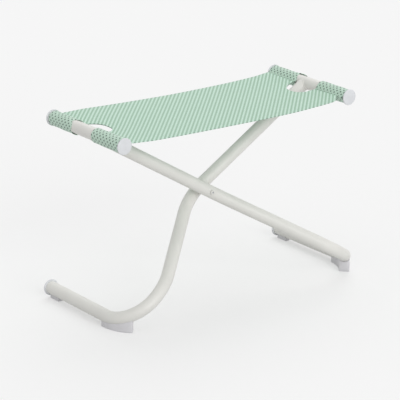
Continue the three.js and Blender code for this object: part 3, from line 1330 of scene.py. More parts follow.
@dataclass
class EndCap:
    """A moulded plug for a tube's open end: a domed flange on a hollow stem."""

    layout: Layout
    palette: Palette
    flange_radius: float = 16 * MM
    flange_height: float = 4 * MM
    flange_chamfer: float = 0.4 * MM
    edge_radius: float = 1.6 * MM
    edge_steps: int = 6
    dome_rise: float = 0.9 * MM
    dome_steps: int = 9
    seat_gap: float = 0.3 * MM
    stem_length: float = 18 * MM
    stem_wall: float = 2.4 * MM
    stem_mouth: float = 3 * MM
    stem_chamfer: float = 0.5 * MM
    ribs: int = 3
    rib_height: float = 0.7 * MM
    rib_start: float = 1.5 * MM
    rib_pitch: float = 5 * MM
    rib_rise: float = 0.8 * MM
    rib_width: float = 2.2 * MM
    sides: int = 64

    def profile(self) -> list[tuple[float, float]]:
        """Give the cap's rings.

        Returns:
            For each ring its height beyond the tube's end, and its radius.
        """
        stem = self.layout.tube_bore - self.seat_gap - self.rib_height
        rim = self.flange_height - self.dome_rise
        bore = stem - self.stem_wall
        tip = -self.stem_length
        rings = [(-self.stem_mouth, bore), (tip, bore), (tip, stem - self.stem_chamfer)]
        for k in range(self.ribs):
            root = tip + self.rib_start + self.rib_pitch * k
            crest = (root + self.rib_rise, stem + self.rib_height)
            rings += [(root, stem), crest, (root + self.rib_width, stem)]
        rings += [(self.seat_gap, stem), (self.seat_gap, self.flange_radius - self.flange_chamfer)]
        rings.append((self.seat_gap + self.flange_chamfer, self.flange_radius))
        edge = self.flange_radius - self.edge_radius
        rings += rounded_corner((edge, rim - self.edge_radius), self.edge_radius, 0, 90, self.edge_steps)
        for k in range(1, self.dome_steps):
            share = 1 - k / self.dome_steps
            rings.append((rim + self.dome_rise * (1 - share**2), edge * share))
        return rings

    def build(self, node: str, body: str, direction: int) -> None:
        """Build one cap where its node is.

        Args:
            node: The node that it stands for.
            body: The body that it rides on.
            direction: Which way it faces along Y.
        """
        low, high = box_of(node)
        middle = (low + high) / 2
        face = high.y if direction > 0 else low.y
        centre = Vector((middle.x, face - direction * self.flange_height, middle.z))
        skin = Skin()
        skin.close_tube(turned_rings(skin, centre, direction * FAR, self.profile(), self.sides))
        settle(skin, f"{node}_plug", [self.palette.cap], body, [node])


@dataclass
class Pivot:
    """The stack that joins the legs: bolt, spacer, washer and dome nut.

    The head's dome is given as depths below its top, and shares of its radius there.
    """

    layout: Layout
    palette: Palette
    rear: LegRoute
    head_radius: float = 5 * MM
    head_height: float = 1.8 * MM
    head_dome: Table = ((0.06 * MM, 0.66), (0.3 * MM, 0.82), (0.7 * MM, 0.94))
    head_side: Span = (0.6 * MM, 0.15 * MM)
    head_bevel: float = 0.2 * MM
    socket_flats: float = 4 * MM
    socket_depth: float = 1.2 * MM
    socket_bevel: Span = (0.25 * MM, 0.6 * MM)
    shank_radius: float = 3 * MM
    shank_bevel: float = 0.6 * MM
    spacer_radius: float = 10 * MM
    spacer_bore: float = 3.3 * MM
    spacer_edge: Span = (0.2 * MM, 0.6 * MM)
    spacer_middle: float = 3 * MM
    spacer_reach: float = 5 * MM
    spacer_gap: float = 0.2 * MM
    line_steps: int = 12
    line_reach: float = 50 * MM
    search_span: Span = (-20 * MM, 30 * MM)
    search_rounds: int = 24
    washer_radius: float = 6 * MM
    washer_bevel: float = 0.25 * MM
    nut_flats: float = 10 * MM
    nut_hex_height: float = 5 * MM
    nut_height: float = 9.5 * MM
    nut_dome_radius: float = 4.5 * MM
    nut_dome_steps: int = 8
    nut_bevel: Span = (0.4 * MM, 0.5 * MM)
    sides: int = 48

    def turned(self, skin: Skin, y: float, profile: Profile) -> list[list[int]]:
        """Add rings round the pivot's axis, with heights from one y towards the far side."""
        return turned_rings(skin, Vector((0.0, y, self.layout.pivot_height)), FAR, profile, self.sides)

    def build(self) -> None:
        """Build the stack, and finish the nodes that stay."""
        self.build_bolt()
        self.build_spacer()
        self.build_washer()
        self.build_nut()
        for node in ("rear_leg_crush_sleeve", "front_leg_crush_sleeve"):
            piece = bpy.data.objects[node]
            piece.data.materials.clear()
            piece.data.materials.append(self.palette.zinc)

    def build_bolt(self) -> None:
        """Build the bolt: a low domed head with a hex socket, and its shank."""
        low, high = box_of("pivot_bolt")
        seat = low.y + self.head_height
        length = high.y - seat
        top = -self.head_height
        bevel_depth, bevel_width = self.socket_bevel

        def socket(angle: float) -> float:
            """Give how far the socket reaches in one direction."""
            return hexagon_reach(angle, self.socket_flats)

        wall = [(top + self.socket_depth, socket), (top + bevel_depth, socket)]
        head = [
            (top, self.socket_flats / 2 + bevel_width),
            *((top + drop, self.head_radius * share) for drop, share in self.head_dome),
            *((-height, self.head_radius) for height in self.head_side),
            (0.0, self.head_radius - self.head_bevel),
        ]
        shank = [
            (0.0, self.shank_radius),
            (length - self.shank_bevel, self.shank_radius),
            (length, self.shank_radius - self.shank_bevel),
        ]
        skin = Skin()
        rings = self.turned(skin, seat, wall + head + shank)
        head_start = len(wall) - 1
        head_end = head_start + len(head)
        skin.bridge_all(rings[: head_start + 1], BoltMark.PLATED)
        skin.bridge_all(rings[head_start : head_end + 1], BoltMark.PAINTED)
        skin.bridge_all(rings[head_end:], BoltMark.PLATED)
        skin.close(rings[0], BoltMark.PLATED)
        skin.close(rings[-1], BoltMark.PLATED)
        finishes = [self.palette.paint, self.palette.zinc]
        settle(skin, "pivot_socket_bolt", finishes, REAR, ["pivot_bolt"])

    def rear_line(self) -> list[Vector]:
        """Give close places on the rear leg's centre line, near the pivot.

        Returns:
            The places in order.
        """
        stations = self.rear.stations(self.layout.span - self.layout.tube_radius)
        line = [self.rear.point(one) for one in stations]
        steps = self.line_steps
        dense = [a.lerp(b, k / steps) for a, b in zip(line, line[1:]) for k in range(steps)]
        low = self.layout.pivot_height / 2
        return [place for place in dense if abs(place.x) < self.line_reach and place.z > low]

    def rear_surface(self, line: Sequence[Vector], x: float, z: float) -> float:
        """Find where the rear leg's near surface lies behind one point of the spacer's rim.

        Args:
            line: Places on the rear leg's centre line.
            x: The point's X.
            z: The point's Z.

        Returns:
            The surface's Y.
        """
        low, high = (self.layout.centre_y + off for off in self.search_span)
        for _ in range(self.search_rounds):
            middle = (low + high) / 2
            nearest = min((place - Vector((x, middle, z))).length for place in line)
            if nearest > self.layout.tube_radius + self.spacer_gap:
                low = middle
            else:
                high = middle
        return low

    def build_spacer(self) -> None:
        """Build the nylon spacer, flat against the front leg and hollowed to the rear leg."""
        low, high = box_of("pivot_spacer")
        radius, bore = self.spacer_radius, self.spacer_bore
        small, large = self.spacer_edge
        flat_side = [
            (0.0, bore),
            (0.0, radius - large),
            (small, radius - small),
            (large, radius),
            (self.spacer_middle, radius),
        ]
        hollow_side = [(self.spacer_reach, radius), (self.spacer_reach, bore)]
        skin = Skin()
        rings = self.turned(skin, low.y, flat_side + hollow_side)
        line = self.rear_line()
        for ring in rings[len(flat_side) :]:
            for corner in ring:
                point = skin.points[corner]
                point.y = min(self.rear_surface(line, point.x, point.z), high.y)
        skin.bridge_all(rings + [rings[0]])
        settle(skin, "pivot_saddle_spacer", [self.palette.spacer], REAR, ["pivot_spacer"])

    def build_washer(self) -> None:
        """Build the washer behind the rear leg."""
        low, high = box_of("pivot_washer")
        thick = high.y - low.y
        radius, bore, bevel = self.washer_radius, self.spacer_bore, self.washer_bevel
        profile = [
            (0.0, bore),
            (0.0, radius - bevel),
            (bevel, radius),
            (thick - bevel, radius),
            (thick, radius - bevel),
            (thick, bore),
        ]
        skin = Skin()
        rings = self.turned(skin, low.y, profile)
        skin.bridge_all(rings + [rings[0]])
        settle(skin, "pivot_flat_washer", [self.palette.zinc], REAR, ["pivot_washer"])

    def build_nut(self) -> None:
        """Build the dome nut: a chamfered hexagon with a round crown."""
        low, _ = box_of("pivot_dome_nut")
        inscribed, full = self.nut_flats / 2, self.nut_flats / math.sqrt(3)
        top, dome = self.nut_hex_height, self.nut_dome_radius
        rise = self.nut_height - top
        lower_bevel, upper_bevel = self.nut_bevel

        def chamfered(cut: float) -> Reach:
            """Give the hexagon's reach, cut off at a radius."""
            return lambda angle: min(hexagon_reach(angle, self.nut_flats), cut)

        turns = [math.pi / 2 * k / self.nut_dome_steps for k in range(1, self.nut_dome_steps)]
        profile = [
            (top, self.shank_radius),
            (0.0, self.shank_radius),
            (0.0, chamfered(inscribed)),
            (lower_bevel, chamfered(full)),
            (top - upper_bevel, chamfered(full)),
            (top, chamfered(inscribed)),
            (top, dome),
            *((top + rise * math.sin(turn), dome * math.cos(turn)) for turn in turns),
        ]
        skin = Skin()
        skin.close_tube(self.turned(skin, low.y, profile))
        settle(skin, "pivot_crown_nut", [self.palette.zinc], REAR, ["pivot_dome_nut"])


def read_table(table: Table, at: float) -> float:
    """Read a smooth curve that is given by a few points.

    Args:
        table: The curve's points, in rising order.
        at: Where it is read.

    Returns:
        The curve's value.
    """
    if at <= table[0][0]:
        return table[0][1]
    if at >= table[-1][0]:
        return table[-1][1]
    k = max(i for i, (place, _) in enumerate(table) if place <= at)
    slopes = []
    for i in (k, k + 1):
        low, high = table[max(i - 1, 0)], table[min(i + 1, len(table) - 1)]
        slopes.append((high[1] - low[1]) / (high[0] - low[0]))
    (start, first), (end, last) = table[k], table[k + 1]
    width = end - start
    t = (at - start) / width
    rise = first * (2 * t**3 - 3 * t**2 + 1) + last * (3 * t**2 - 2 * t**3)
    return rise + width * (slopes[0] * (t**3 - 2 * t**2 + t) + slopes[1] * (t**3 - t**2))


@dataclass
class HandHole:
    """The hole beside one rail, where a hand reaches the bare tube.

    Its outline is squarer the greater its fullness, and the panel dips beside it.
    """

    side: int
    near: float
    far: float
    depth: float
    fullness: float
    dip: float

    def reach(self, y: float) -> float:
        """Give how far the hole's edge lies from the rail's axis.

        Args:
            y: The place along the rail, from its middle.

        Returns:
            The distance, which is 0 beyond the hole's ends.
        """
        share = abs(2 * (y - self.near) / (self.far - self.near) - 1)
        if share >= 1:
            return 0.0
        return self.depth * (1 - share**self.fullness) ** (1 / self.fullness)


@dataclass(frozen=True)
class SleevePlan:
    """Which sleeve it is, where it lies along the rail, and how its mouth is cut back round the tube.

    The cut-back is given in millimetres at angles in degrees, from the seam round under the rail. The
    mouth gapes by its flare, but lies close to the tube round its taut angle.
    """

    side: int
    end: str
    place: str
    body: str
    near: float
    far: float
    mouth: Table = ((-360.0, 0.0), (0.0, 0.0))
    flare: float = 0.15 * MM
    taut: float = -209.0


@dataclass(frozen=True)
class PathPoint:
    """A place on the cloth's path round a rail.

    It lies inboard of the rail's axis and rises over it. It is measured along the cloth from the lower
    ply's seam, and its turn round the rail is in degrees.
    """

    inboard: float
    rise: float
    along: float
    turn: float


@dataclass
class Sling:
    """The mesh sling: one cloth folded round both rails, with a hand hole at each.

    The rises give the panel's height over the rails' axes along its far and its near edge, in millimetres,
    at places from -1 at the left seam to 1 at the right seam. The rows at mouths and holes are given as
    millimetres from them. The stitches' lift is in half thicknesses of the cloth.
    """

    layout: Layout
    palette: Palette
    half_thickness: float = 0.4 * MM
    half_width: float = 115 * MM
    sleeve_radius: float = 14.0 * MM
    seam_reach: float = 17.5 * MM
    seam_angle: float = math.radians(12)
    ply_end: float = 1.4 * MM
    far_rise: Table = (
        (-1.0, 6.0),
        (-0.8, 5.6),
        (-0.6, 3.2),
        (-0.3, 0.3),
        (0.0, -1.9),
        (0.3, -2.6),
        (0.6, -2.2),
        (0.85, -0.3),
        (1.0, 3.0),
    )
    near_rise: Table = (
        (-1.0, 2.4),
        (-0.8, -1.6),
        (-0.6, -3.4),
        (-0.3, -5.2),
        (0.0, -6.6),
        (0.3, -7.8),
        (0.55, -7.6),
        (0.75, -5.9),
        (0.9, -3.9),
        (0.94, -2.0),
        (1.0, 1.4),
    )
    hole_dip_reach: Span = (0.3, 50 * MM)
    left_mouth: Table = (
        (-345.0, -1.5),
        (-322.0, -3.0),
        (-303.0, -6.0),
        (-292.0, -6.5),
        (-280.0, 2.0),
        (-262.0, 4.6),
        (-246.0, 6.0),
        (-224.0, 1.0),
        (-204.0, -0.9),
        (-177.0, -0.5),
        (-150.0, 3.0),
        (-139.0, 2.0),
        (-124.0, -2.5),
        (-100.0, -4.0),
        (12.0, -4.0),
    )
    right_mouth: Table = (
        (-345.0, -3.5),
        (-312.0, -0.7),
        (-290.0, 1.8),
        (-267.0, 3.3),
        (-252.0, 1.0),
        (-240.0, -7.0),
        (-120.0, -7.0),
        (-61.0, -4.0),
        (12.0, -3.5),
    )
    loose_corner: Span = (16 * MM, 18 * MM)
    loose_curve: float = 1.15
    ripple: float = 0.18 * MM
    ripple_along: float = 43 * MM
    ripple_round: float = 7 * MM
    ripple_turn: float = 2.1
    ripple_drift: float = 40.0
    held_reach: float = 8 * MM
    flare_fade: float = 4 * MM
    taut_reach: Span = (65.0, 85.0)
    taut_share: float = 2.4
    tube_gap: float = 0.1 * MM
    row_step: float = 4 * MM
    least_rows: int = 4
    left_far_inset: float = 1.5 * MM
    mouth_rows: tuple[float, ...] = (0.0, 0.4, 1.2, 2.4)
    wrap_steps: int = 72
    lower_ply_steps: int = 3
    upper_ply_steps: int = 4
    rim_width: float = 1.3 * MM
    hem_drop: float = 0.5 * MM
    panel_row_count: int = 58
    hole_rows: tuple[float, ...] = (0.0, 0.08, 0.3, 0.7, 1.3, 2.1, 3.1)
    least_row_step: float = 0.05 * MM
    row_digits: int = 7
    hem_columns: int = 2
    middle_half: float = 180 * MM
    middle_columns: int = 60
    side_columns: int = 14
    blend_reach: float = 250 * MM
    stitch_pitch: float = 4.2 * MM
    stitch_length: float = 2.8 * MM
    stitch_radius: float = 0.28 * MM
    stitch_inset: float = 0.9 * MM
    stitch_lift: float = 3.1
    stitch_drop: float = 0.45 * MM
    stitch_drop_power: int = 4
    stitch_taper: float = 0.5
    stitch_taper_power: int = 6
    stitch_steps: int = 6
    stitch_sides: int = 8

    def __post_init__(self) -> None:
        """Place the hand holes."""
        self.left_hole = HandHole(
            -1, near=-29.5 * MM, far=38.5 * MM, depth=50 * MM, fullness=2.5, dip=4.2 * MM
        )
        self.right_hole = HandHole(
            1, near=-34 * MM, far=34 * MM, depth=53 * MM, fullness=2.5, dip=2.5 * MM
        )

    def build(self) -> None:
        """Build the panel, the four sleeves and the seams."""
        left, right = self.left_hole, self.right_hole
        half = self.half_width
        for plan in (
            SleevePlan(-1, "left", "near", FRONT, near=-half, far=left.near),
            SleevePlan(
                -1,
                "left",
                "far",
                FRONT,
                near=left.far,
                far=half - self.left_far_inset,
                mouth=self.left_mouth,
                flare=0.7 * MM,
            ),
            SleevePlan(1, "right", "near", REAR, near=-half, far=right.near),
            SleevePlan(
                1,
                "right",
                "far",
                REAR,
                near=right.far,
                far=half,
                mouth=self.right_mouth,
                flare=0.9 * MM,
                taut=-338.0,
            ),
        ):
            self.build_sleeve(plan)
        self.build_stitches(left, "left", FRONT)
        self.build_stitches(right, "right", REAR)
        self.build_panel()

    @property
    def seam_x(self) -> float:
        """The distance of each seam from the middle of the sling."""
        return self.layout.rail_half_spacing - self.seam_reach * math.cos(self.seam_angle)

    def rise(self, share: float, y: float) -> float:
        """Give how far the panel's middle surface lies over the rails' axes.

        Args:
            share: The place across the sling, from -1 at the left seam to 1 at the right seam.
            y: The place along the rails, from their middle.

        Returns:
            The height over the axes.
        """
        far_share = (y / self.half_width + 1) / 2
        near, far = read_table(self.near_rise, share), read_table(self.far_rise, share)
        across, along = self.hole_dip_reach
        sunk = 0.0
        for hole in (self.left_hole, self.right_hole):
            beside = (share - hole.side) / across
            past = (y - (hole.near + hole.far) / 2) / along
            sunk += hole.dip * math.exp(-(beside**2) - past**2)
        return (near + (far - near) * far_share) * MM - sunk

    def seam_turn(self, side: int, y: float) -> float:
        """Give the seam's angle over the rail's axis, in radians."""
        return math.asin(self.rise(side, y) / self.seam_reach)

    def height(self, x: float, y: float) -> float:
        """Give the height of the panel's middle surface.

        Args:
            x: The place across the sling.
            y: The place along the rails, from their middle.

        Returns:
            The height above the floor.
        """
        return self.layout.rail_height + self.rise(max(-1.0, min(1.0, x / self.seam_x)), y)

    def panel_rows(self) -> list[float]:
        """Give the panel's rows, closer at the edges and at the ends of the hand holes.

        Returns:
            Their places along the rails, in rising order.
        """
        count = self.panel_row_count
        rows = [self.half_width * (2 * k / count - 1) for k in range(count + 1)]
        inside = self.half_width - self.rim_width
        rows += [-inside, inside]
        for hole in (self.left_hole, self.right_hole):
            for step in self.hole_rows:
                rows += [hole.near + step * MM, hole.far - step * MM]
        ordered = sorted({round(row, self.row_digits) for row in rows})
        kept = [ordered[0]]
        for y in ordered[1:]:
            if y - kept[-1] > self.least_row_step:
                kept.append(y)
        return kept

    def panel_columns(self, y: float) -> list[float]:
        """Give the columns' places across the sling in one row.

        Args:
            y: The row's place along the rails.

        Returns:
            The places from the left edge to the right edge.
        """
        left = -min(self.seam_x, self.layout.rail_half_spacing - self.left_hole.reach(y))
        right = min(self.seam_x, self.layout.rail_half_spacing - self.right_hole.reach(y))
        across, along = self.loose_corner
        into_corner = along - self.half_width - y
        if into_corner > 0:
            right -= across * (into_corner / along) ** self.loose_curve
        inner, beside, middle = self.middle_half, self.side_columns, self.middle_columns
        ends = (left + self.rim_width, right - self.rim_width)
        columns = [left]
        columns += [ends[0] + (-inner - ends[0]) * k / beside for k in range(beside)]
        columns += [inner * (2 * k / middle - 1) for k in range(middle)]
        columns += [inner + (ends[1] - inner) * k / beside for k in range(beside + 1)]
        columns.append(right)
        return columns

    def at_hole(self, column: int, columns: int, y: float, width: int) -> bool:
        """Say whether a column of the panel lies beside a hand hole.

        Args:
            column: The column.
            columns: How many columns there are.
            y: The place along the rails.
            width: How many columns from the edge count as beside it.

        Returns:
            Whether it does.
        """
        if column < width:
            return self.left_hole.reach(y) > self.seam_reach
        return column >= columns - width and self.right_hole.reach(y) > self.seam_reach

    def panel_layer(self, skin: Skin, rows: Sequence[float], direction: int) -> list[list[int]]:
        """Add the points of the panel's upper or lower face.

        Args:
            skin: The panel's mesh.
            rows: The rows' places along the rails.
            direction: 1 for the upper face, -1 for the lower one.

        Returns:
            The rows' point numbers.
        """
        layer = []
        for y in rows:
            columns = self.panel_columns(y)
            points = []
            for i, x in enumerate(columns):
                z = self.height(x, y) + direction * self.half_thickness
                if direction < 0 and self.at_hole(i, len(columns), y, self.hem_columns):
                    z -= self.hem_drop
                points.append(Vector((x, self.layout.centre_y + y, z)))
            layer.append(skin.row(points, [(x, y) for x in columns]))
        return layer

    def cover_top(self, skin: Skin, rows: Sequence[float], layer: Sequence[Sequence[int]]) -> None:
        """Add the panel's top faces, with a rim of cloth marks and painted shade along its free edges.

        Args:
            skin: The panel's mesh.
            rows: The rows' places along the rails.
            layer: The rows' point numbers.
        """
        count = len(layer[0]) - 1
        for k, (first, second) in enumerate(zip(layer, layer[1:])):
            middle = (rows[k] + rows[k + 1]) / 2
            for i in range(count):
                on_rim_marks_and_shade = k in (0, len(rows) - 2) or self.at_hole(i, count, middle, 1)
                mark = PanelMark.RIM_MARKS_AND_SHADE if on_rim_marks_and_shade else PanelMark.TOP
                skin.face((first[i], first[i + 1], second[i + 1], second[i]), mark)

    def panel_area(self, rows: Sequence[float]) -> float:
        """Measure the panel's cloth, without its hand holes and its loose corner.

        Args:
            rows: The rows' places along the rails.

        Returns:
            The area.
        """
        columns = [self.panel_columns(y) for y in rows]
        widths = [places[-1] - places[0] for places in columns]
        area = 0.0
        for k in range(len(rows) - 1):
            area += (rows[k + 1] - rows[k]) * (widths[k] + widths[k + 1]) / 2
        return area

    def build_panel(self) -> None:
        """Build the panel between the seams."""
        skin = Skin()
        rows = self.panel_rows()
        upper = self.panel_layer(skin, rows, 1)
        lower = self.panel_layer(skin, rows, -1)
        self.cover_top(skin, rows, upper)
        skin.bridge_all(lower, PanelMark.UNDERSIDE, closed=False)
        for side in (0, -1):
            # The ends' cut edges take the rim finish: darker sage, partly edge marks in the cloth and
            # partly painted shade.
            skin.bridge(upper[side], lower[side], PanelMark.RIM_MARKS_AND_SHADE, closed=False)
            edges = [[row[side] for row in layer] for layer in (upper, lower)]
            # The sides' edges take the hem finish, whose darker ground is painted shade.
            skin.bridge(*edges, PanelMark.HEM_SHADE, closed=False)
        finishes = [self.palette.stripes, self.palette.dots, self.palette.rim, self.palette.hem]
        piece = skin.build("sling_cloth_panel", finishes)
        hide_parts("sling_panel")
        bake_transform(piece)
        self.panel_area(rows)
        report(piece)

    def sleeve_path(self, seam: float) -> list[PathPoint]:
        """Give the cloth's path round a rail, starting and ending at the seam.

        Args:
            seam: The seam's angle over the rail's axis, in radians.

        Returns:
            The path's points in order.
        """
        spread = math.acos(self.sleeve_radius / self.seam_reach)
        tip = Vector((math.cos(seam), math.sin(seam)))
        lift = Vector((-tip.y, tip.x)) * 2 * self.half_thickness
        low_tip = self.seam_reach * tip
        start = seam - spread
        sweep = 2 * math.pi - 2 * spread
        steps, low_steps, high_steps = self.wrap_steps, self.lower_ply_steps, self.upper_ply_steps
        turns = [start - sweep * k / steps for k in range(steps + 1)]
        wrap = [self.sleeve_radius * Vector((math.cos(turn), math.sin(turn))) for turn in turns]
        high_tip = low_tip + lift - self.ply_end * tip
        back = seam - 2 * math.pi
        path = [(low_tip.lerp(wrap[0], k / low_steps), seam) for k in range(low_steps)]
        path += list(zip(wrap, turns))
        path += [(wrap[-1].lerp(high_tip, k / high_steps), back) for k in range(1, high_steps + 1)]
        path.append((low_tip + lift, back))
        measured = []
        travelled = 0.0
        for k, (point, turn) in enumerate(path):
            if k:
                travelled += (point - path[k - 1][0]).length
            measured.append(PathPoint(point.x, point.y, travelled, math.degrees(turn)))
        return measured

    def sleeve_rows(self, plan: SleevePlan) -> list[float]:
        """Give one sleeve's rows, closer at its mouths.

        Args:
            plan: Which sleeve it is.

        Returns:
            Their places along the rail, in rising order.
        """
        reach = plan.far - plan.near
        count = max(self.least_rows, round(reach / self.row_step))
        mouths = [step * MM for step in self.mouth_rows]
        return sorted(
            {plan.near + m for m in mouths}
            | {plan.far - m for m in mouths}
            | {plan.near + reach * k / count for k in range(1, count)}
        )

    def puff(self, plan: SleevePlan, spot: PathPoint, y: float, flare: float, to_seam: float) -> float:
        """Give how far the cloth stands off its path, which never takes it into the tube.

        Args:
            plan: Which sleeve it is.
            spot: The place on the path.
            y: The place along the rail.
            flare: How far the mouth's gape still reaches there.
            to_seam: How far the seam is along the cloth.

        Returns:
            The distance outward from the path.
        """
        full, none = self.taut_reach
        taut = max(0.0, min(1.0, (none - abs(spot.turn - plan.taut)) / (none - full)))
        wave = math.sin(2 * math.pi * y / self.ripple_along + self.ripple_turn * plan.side)
        wave += math.sin(spot.along / self.ripple_round + self.ripple_drift * y)
        held = min(1.0, to_seam / self.held_reach)
        least = self.layout.tube_radius + self.tube_gap + self.half_thickness - self.sleeve_radius
        return max(held * (flare * (1 - self.taut_share * taut) + self.ripple * wave), least)

    def sleeve_ring(self, skin: Skin, plan: SleevePlan, row_y: float) -> tuple[list[int], float]:
        """Add one row of a sleeve, out along its outer face and back along its inner face.

        Args:
            skin: The sleeve's mesh.
            plan: Which sleeve it is.
            row_y: The row's place along the rail, before its mouth is cut back.

        Returns:
            The row's point numbers, and the cloth's length round the rail.
        """
        path = self.sleeve_path(self.seam_turn(plan.side, row_y))
        length = path[-1].along
        to_mouth = min(row_y - plan.near, plan.far - row_y)
        flare = plan.flare * math.exp(-to_mouth / self.flare_fade)
        rail_x = plan.side * self.layout.rail_half_spacing
        outer, inner, cloth = [], [], []
        for k, spot in enumerate(path):
            cut_back = read_table(plan.mouth, spot.turn) * MM
            y = row_y + cut_back * (plan.far - row_y) / (plan.far - plan.near)
            before, after = path[max(k - 1, 0)], path[min(k + 1, len(path) - 1)]
            run = math.hypot(after.inboard - before.inboard, after.rise - before.rise)
            normal = (-(after.rise - before.rise) / run, (after.inboard - before.inboard) / run)
            puff = self.puff(plan, spot, y, flare, min(spot.along, length - spot.along))
            for found, face in ((outer, 1), (inner, -1)):
                off = puff + face * self.half_thickness
                x = rail_x - plan.side * (spot.inboard + normal[0] * off)
                z = self.layout.rail_height + spot.rise + normal[1] * off
                found.append(Vector((x, self.layout.centre_y + y, z)))
            cloth.append((plan.side * (self.seam_x + spot.along), y))
        return skin.row(outer + inner[::-1], cloth + cloth[::-1]), length

    def build_sleeve(self, plan: SleevePlan) -> None:
        """Build the cloth that wraps one rail on one side of its hand hole.

        Args:
            plan: Which sleeve it is.
        """
        skin = Skin()
        rings = []
        length = 0.0
        for y in self.sleeve_rows(plan):
            ring, length = self.sleeve_ring(skin, plan, y)
            rings.append(ring)
        skin.bridge_all(rings)
        half = len(rings[0]) // 2
        for ring in (rings[0], rings[-1]):
            skin.bridge(ring[:half], ring[half:][::-1], closed=False)
        name = f"{plan.end}_sleeve_{plan.place}_cloth"
        nodes = [f"{plan.end}_sleeve_{plan.place}"]
        piece = settle(skin, name, [self.palette.dots], plan.body, nodes)

    def build_stitches(self, hole: HandHole, end: str, body: str) -> None:
        """Build the row of stitches along one rail's seams.

        Args:
            hole: The rail's hand hole, which the row leaves out.
            end: The rail's name.
            body: The body that it rides on.
        """
        skin = Skin()
        tip = self.seam_reach - self.stitch_inset
        lift = self.stitch_lift * self.half_thickness
        y = -self.half_width + self.stitch_pitch
        while y < self.half_width - self.stitch_pitch:
            if not hole.near - self.stitch_pitch < y < hole.far + self.stitch_pitch / 2:
                turn = self.seam_turn(hole.side, y)
                inboard = tip * math.cos(turn) - lift * math.sin(turn)
                over = tip * math.sin(turn) + lift * math.cos(turn)
                x = hole.side * (self.layout.rail_half_spacing - inboard)
                self.add_stitch(skin, Vector((x, self.layout.centre_y + y, self.layout.rail_height + over)))
            y += self.stitch_pitch
        settle(skin, f"{end}_seam_stitches", [self.palette.thread], body)

    def add_stitch(self, skin: Skin, start: Vector) -> None:
        """Add one stitch, a short thread whose ends go down into the cloth.

        Args:
            skin: The stitches' mesh.
            start: Where the stitch begins.
        """
        rings = []
        for k in range(self.stitch_steps + 1):
            share = k / self.stitch_steps
            towards_end = 2 * share - 1
            drop = self.stitch_drop * towards_end**self.stitch_drop_power
            radius = self.stitch_radius * (1 - self.stitch_taper * towards_end**self.stitch_taper_power)
            centre = start + Vector((0.0, self.stitch_length * share, -drop))
            rings.append(skin.row(circle(centre, ACROSS, UP, radius, self.stitch_sides)))
        skin.close_tube(rings)


# Picture


@dataclass(frozen=True)
class SoftLamp:
    """A wide far lamp. Its turn goes from the near side to the right, and its angles are in degrees."""

    name: str
    strength: float
    turn: float
    climb: float
    spread: float = 45.0

    def build(self) -> None:
        """Build the lamp."""
        light = bpy.data.lights.new(self.name, "SUN")
        light.energy = self.strength
        light.angle = math.radians(self.spread)
        turn, climb = math.radians(self.turn), math.radians(self.climb)
        level = math.cos(climb)
        towards = Vector((math.sin(turn) * level, -math.cos(turn) * level, math.sin(climb)))
        lamp = bpy.data.objects.new(self.name, light)
        lamp.rotation_euler = towards.to_track_quat("Z", "Y").to_euler()
        bpy.context.scene.collection.objects.link(lamp)


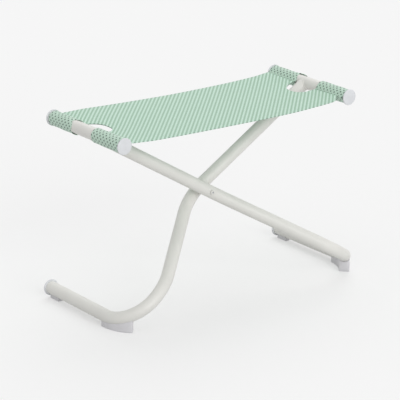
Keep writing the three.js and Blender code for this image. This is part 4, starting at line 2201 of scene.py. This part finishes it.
@dataclass
class Studio:
    """The pale ground, the soft lights and the camera."""

    ground_half: float = 15.0
    ambient: float = 0.672
    backdrop: float = 0.92
    lamps: tuple[SoftLamp, ...] = (
        SoftLamp("key", strength=1.01, turn=-3.0, climb=20.0),
        SoftLamp("back", strength=0.6, turn=135.0, climb=50.0),
    )
    azimuth: float = math.radians(37.24)
    elevation: float = math.radians(18.46)
    distance: float = 4.129
    lens: float = 189.4
    sensor: float = 36.0
    clip_end: float = 100.0
    aim: tuple[float, float, float] = (0.0, 0.01975, 0.19568)
    shift: Span = (-0.00928, -0.0286)

    def build(self) -> None:
        """Build the ground, lights and camera."""
        bpy.context.scene.view_settings.view_transform = "Standard"
        self.build_ground()
        self.build_light()
        self.build_camera()

    def build_ground(self) -> None:
        """Build the ground, a wide flat sheet."""
        reach = self.ground_half
        skin = Skin()
        corners = [(-reach, -reach), (reach, -reach), (reach, reach), (-reach, reach)]
        skin.face(tuple(skin.row([Vector((x, y, 0.0)) for x, y in corners])))
        ground = skin.build("ground", [PaperGround().material()])

    def build_light(self) -> None:
        """Build the even room light and the lamps."""
        world = bpy.data.worlds.new("soft_room")
        desk = NodeDesk(world)
        room = desk.nodes["Background"].inputs
        desk.feed(room["Color"], WHITE)
        level = desk.add("ShaderNodeMapRange")
        desk.feed(level.inputs["Value"], desk.watched())
        desk.feed(level.inputs["To Min"], self.ambient)
        desk.feed(level.inputs["To Max"], self.backdrop)
        desk.feed(room["Strength"], level.outputs[0])
        bpy.context.scene.world = world
        for lamp in self.lamps:
            lamp.build()

    def build_camera(self) -> None:
        """Build the camera at the photograph's angle."""
        turn, tilt = self.azimuth, self.elevation
        level = math.cos(tilt)
        forward = Vector((math.sin(turn) * level, math.cos(turn) * level, -math.sin(tilt)))
        right = Vector((math.cos(turn), -math.sin(turn), 0.0))
        up = right.cross(forward)
        lens = bpy.data.cameras.new("picture")
        lens.sensor_width = self.sensor
        lens.lens = self.lens
        lens.shift_x, lens.shift_y = self.shift
        lens.clip_end = self.clip_end
        camera = bpy.data.objects.new("picture", lens)
        place = Vector(self.aim) - forward * self.distance
        axes = Matrix((right, up, -forward)).transposed().to_4x4()
        camera.matrix_world = Matrix.Translation(place) @ axes
        bpy.context.scene.collection.objects.link(camera)
        bpy.context.scene.camera = camera


def main() -> None:
    """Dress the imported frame, sub-assembly by sub-assembly."""
    logging.basicConfig(level=logging.INFO, format="%(message)s")
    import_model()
    layout = Layout.measured()
    palette = Palette.mixed()
    rear_bend = LegBend(
        bend_start=-73 * MM,
        bend_radius=66 * MM,
        bend_turn=97.6,
        ease_radius=127 * MM,
        upper_radius=143 * MM,
        upper_bend_end=19.4 * MM,
    )
    front_bend = LegBend(
        bend_start=-60 * MM,
        bend_radius=87 * MM,
        bend_turn=97.6,
        ease_radius=87 * MM,
        upper_radius=120 * MM,
        upper_bend_end=7.3 * MM,
    )
    front_foot = FootPlan("near", begins=185 * MM, length=65.5 * MM, width=21.5 * MM)
    rear = Leg(layout, palette, "rear_leg", REAR, -1, rear_bend, offset=17.5 * MM)
    front = Leg(
        layout, palette, "front_leg", FRONT, 1, front_bend, offset=-15.5 * MM, near_foot=front_foot
    )
    for leg in (rear, front):
        leg.build()
    for end, body, side in (("left_rail", FRONT, -1), ("right_rail", REAR, 1)):
        Rail(layout, palette, end, body, side).build()
    caps = EndCap(layout, palette)
    for node, body, direction in (
        ("rear_leg_floor_cap", REAR, 1),
        ("front_leg_floor_cap", FRONT, 1),
        ("left_rail_near_cap", FRONT, -1),
        ("left_rail_far_cap", FRONT, 1),
        ("right_rail_near_cap", REAR, -1),
        ("right_rail_far_cap", REAR, 1),
    ):
        caps.build(node, body, direction)
    Pivot(layout, palette, rear.route).build()
    Sling(layout, palette).build()
    Studio().build()


if __name__ == "__main__":
    main()
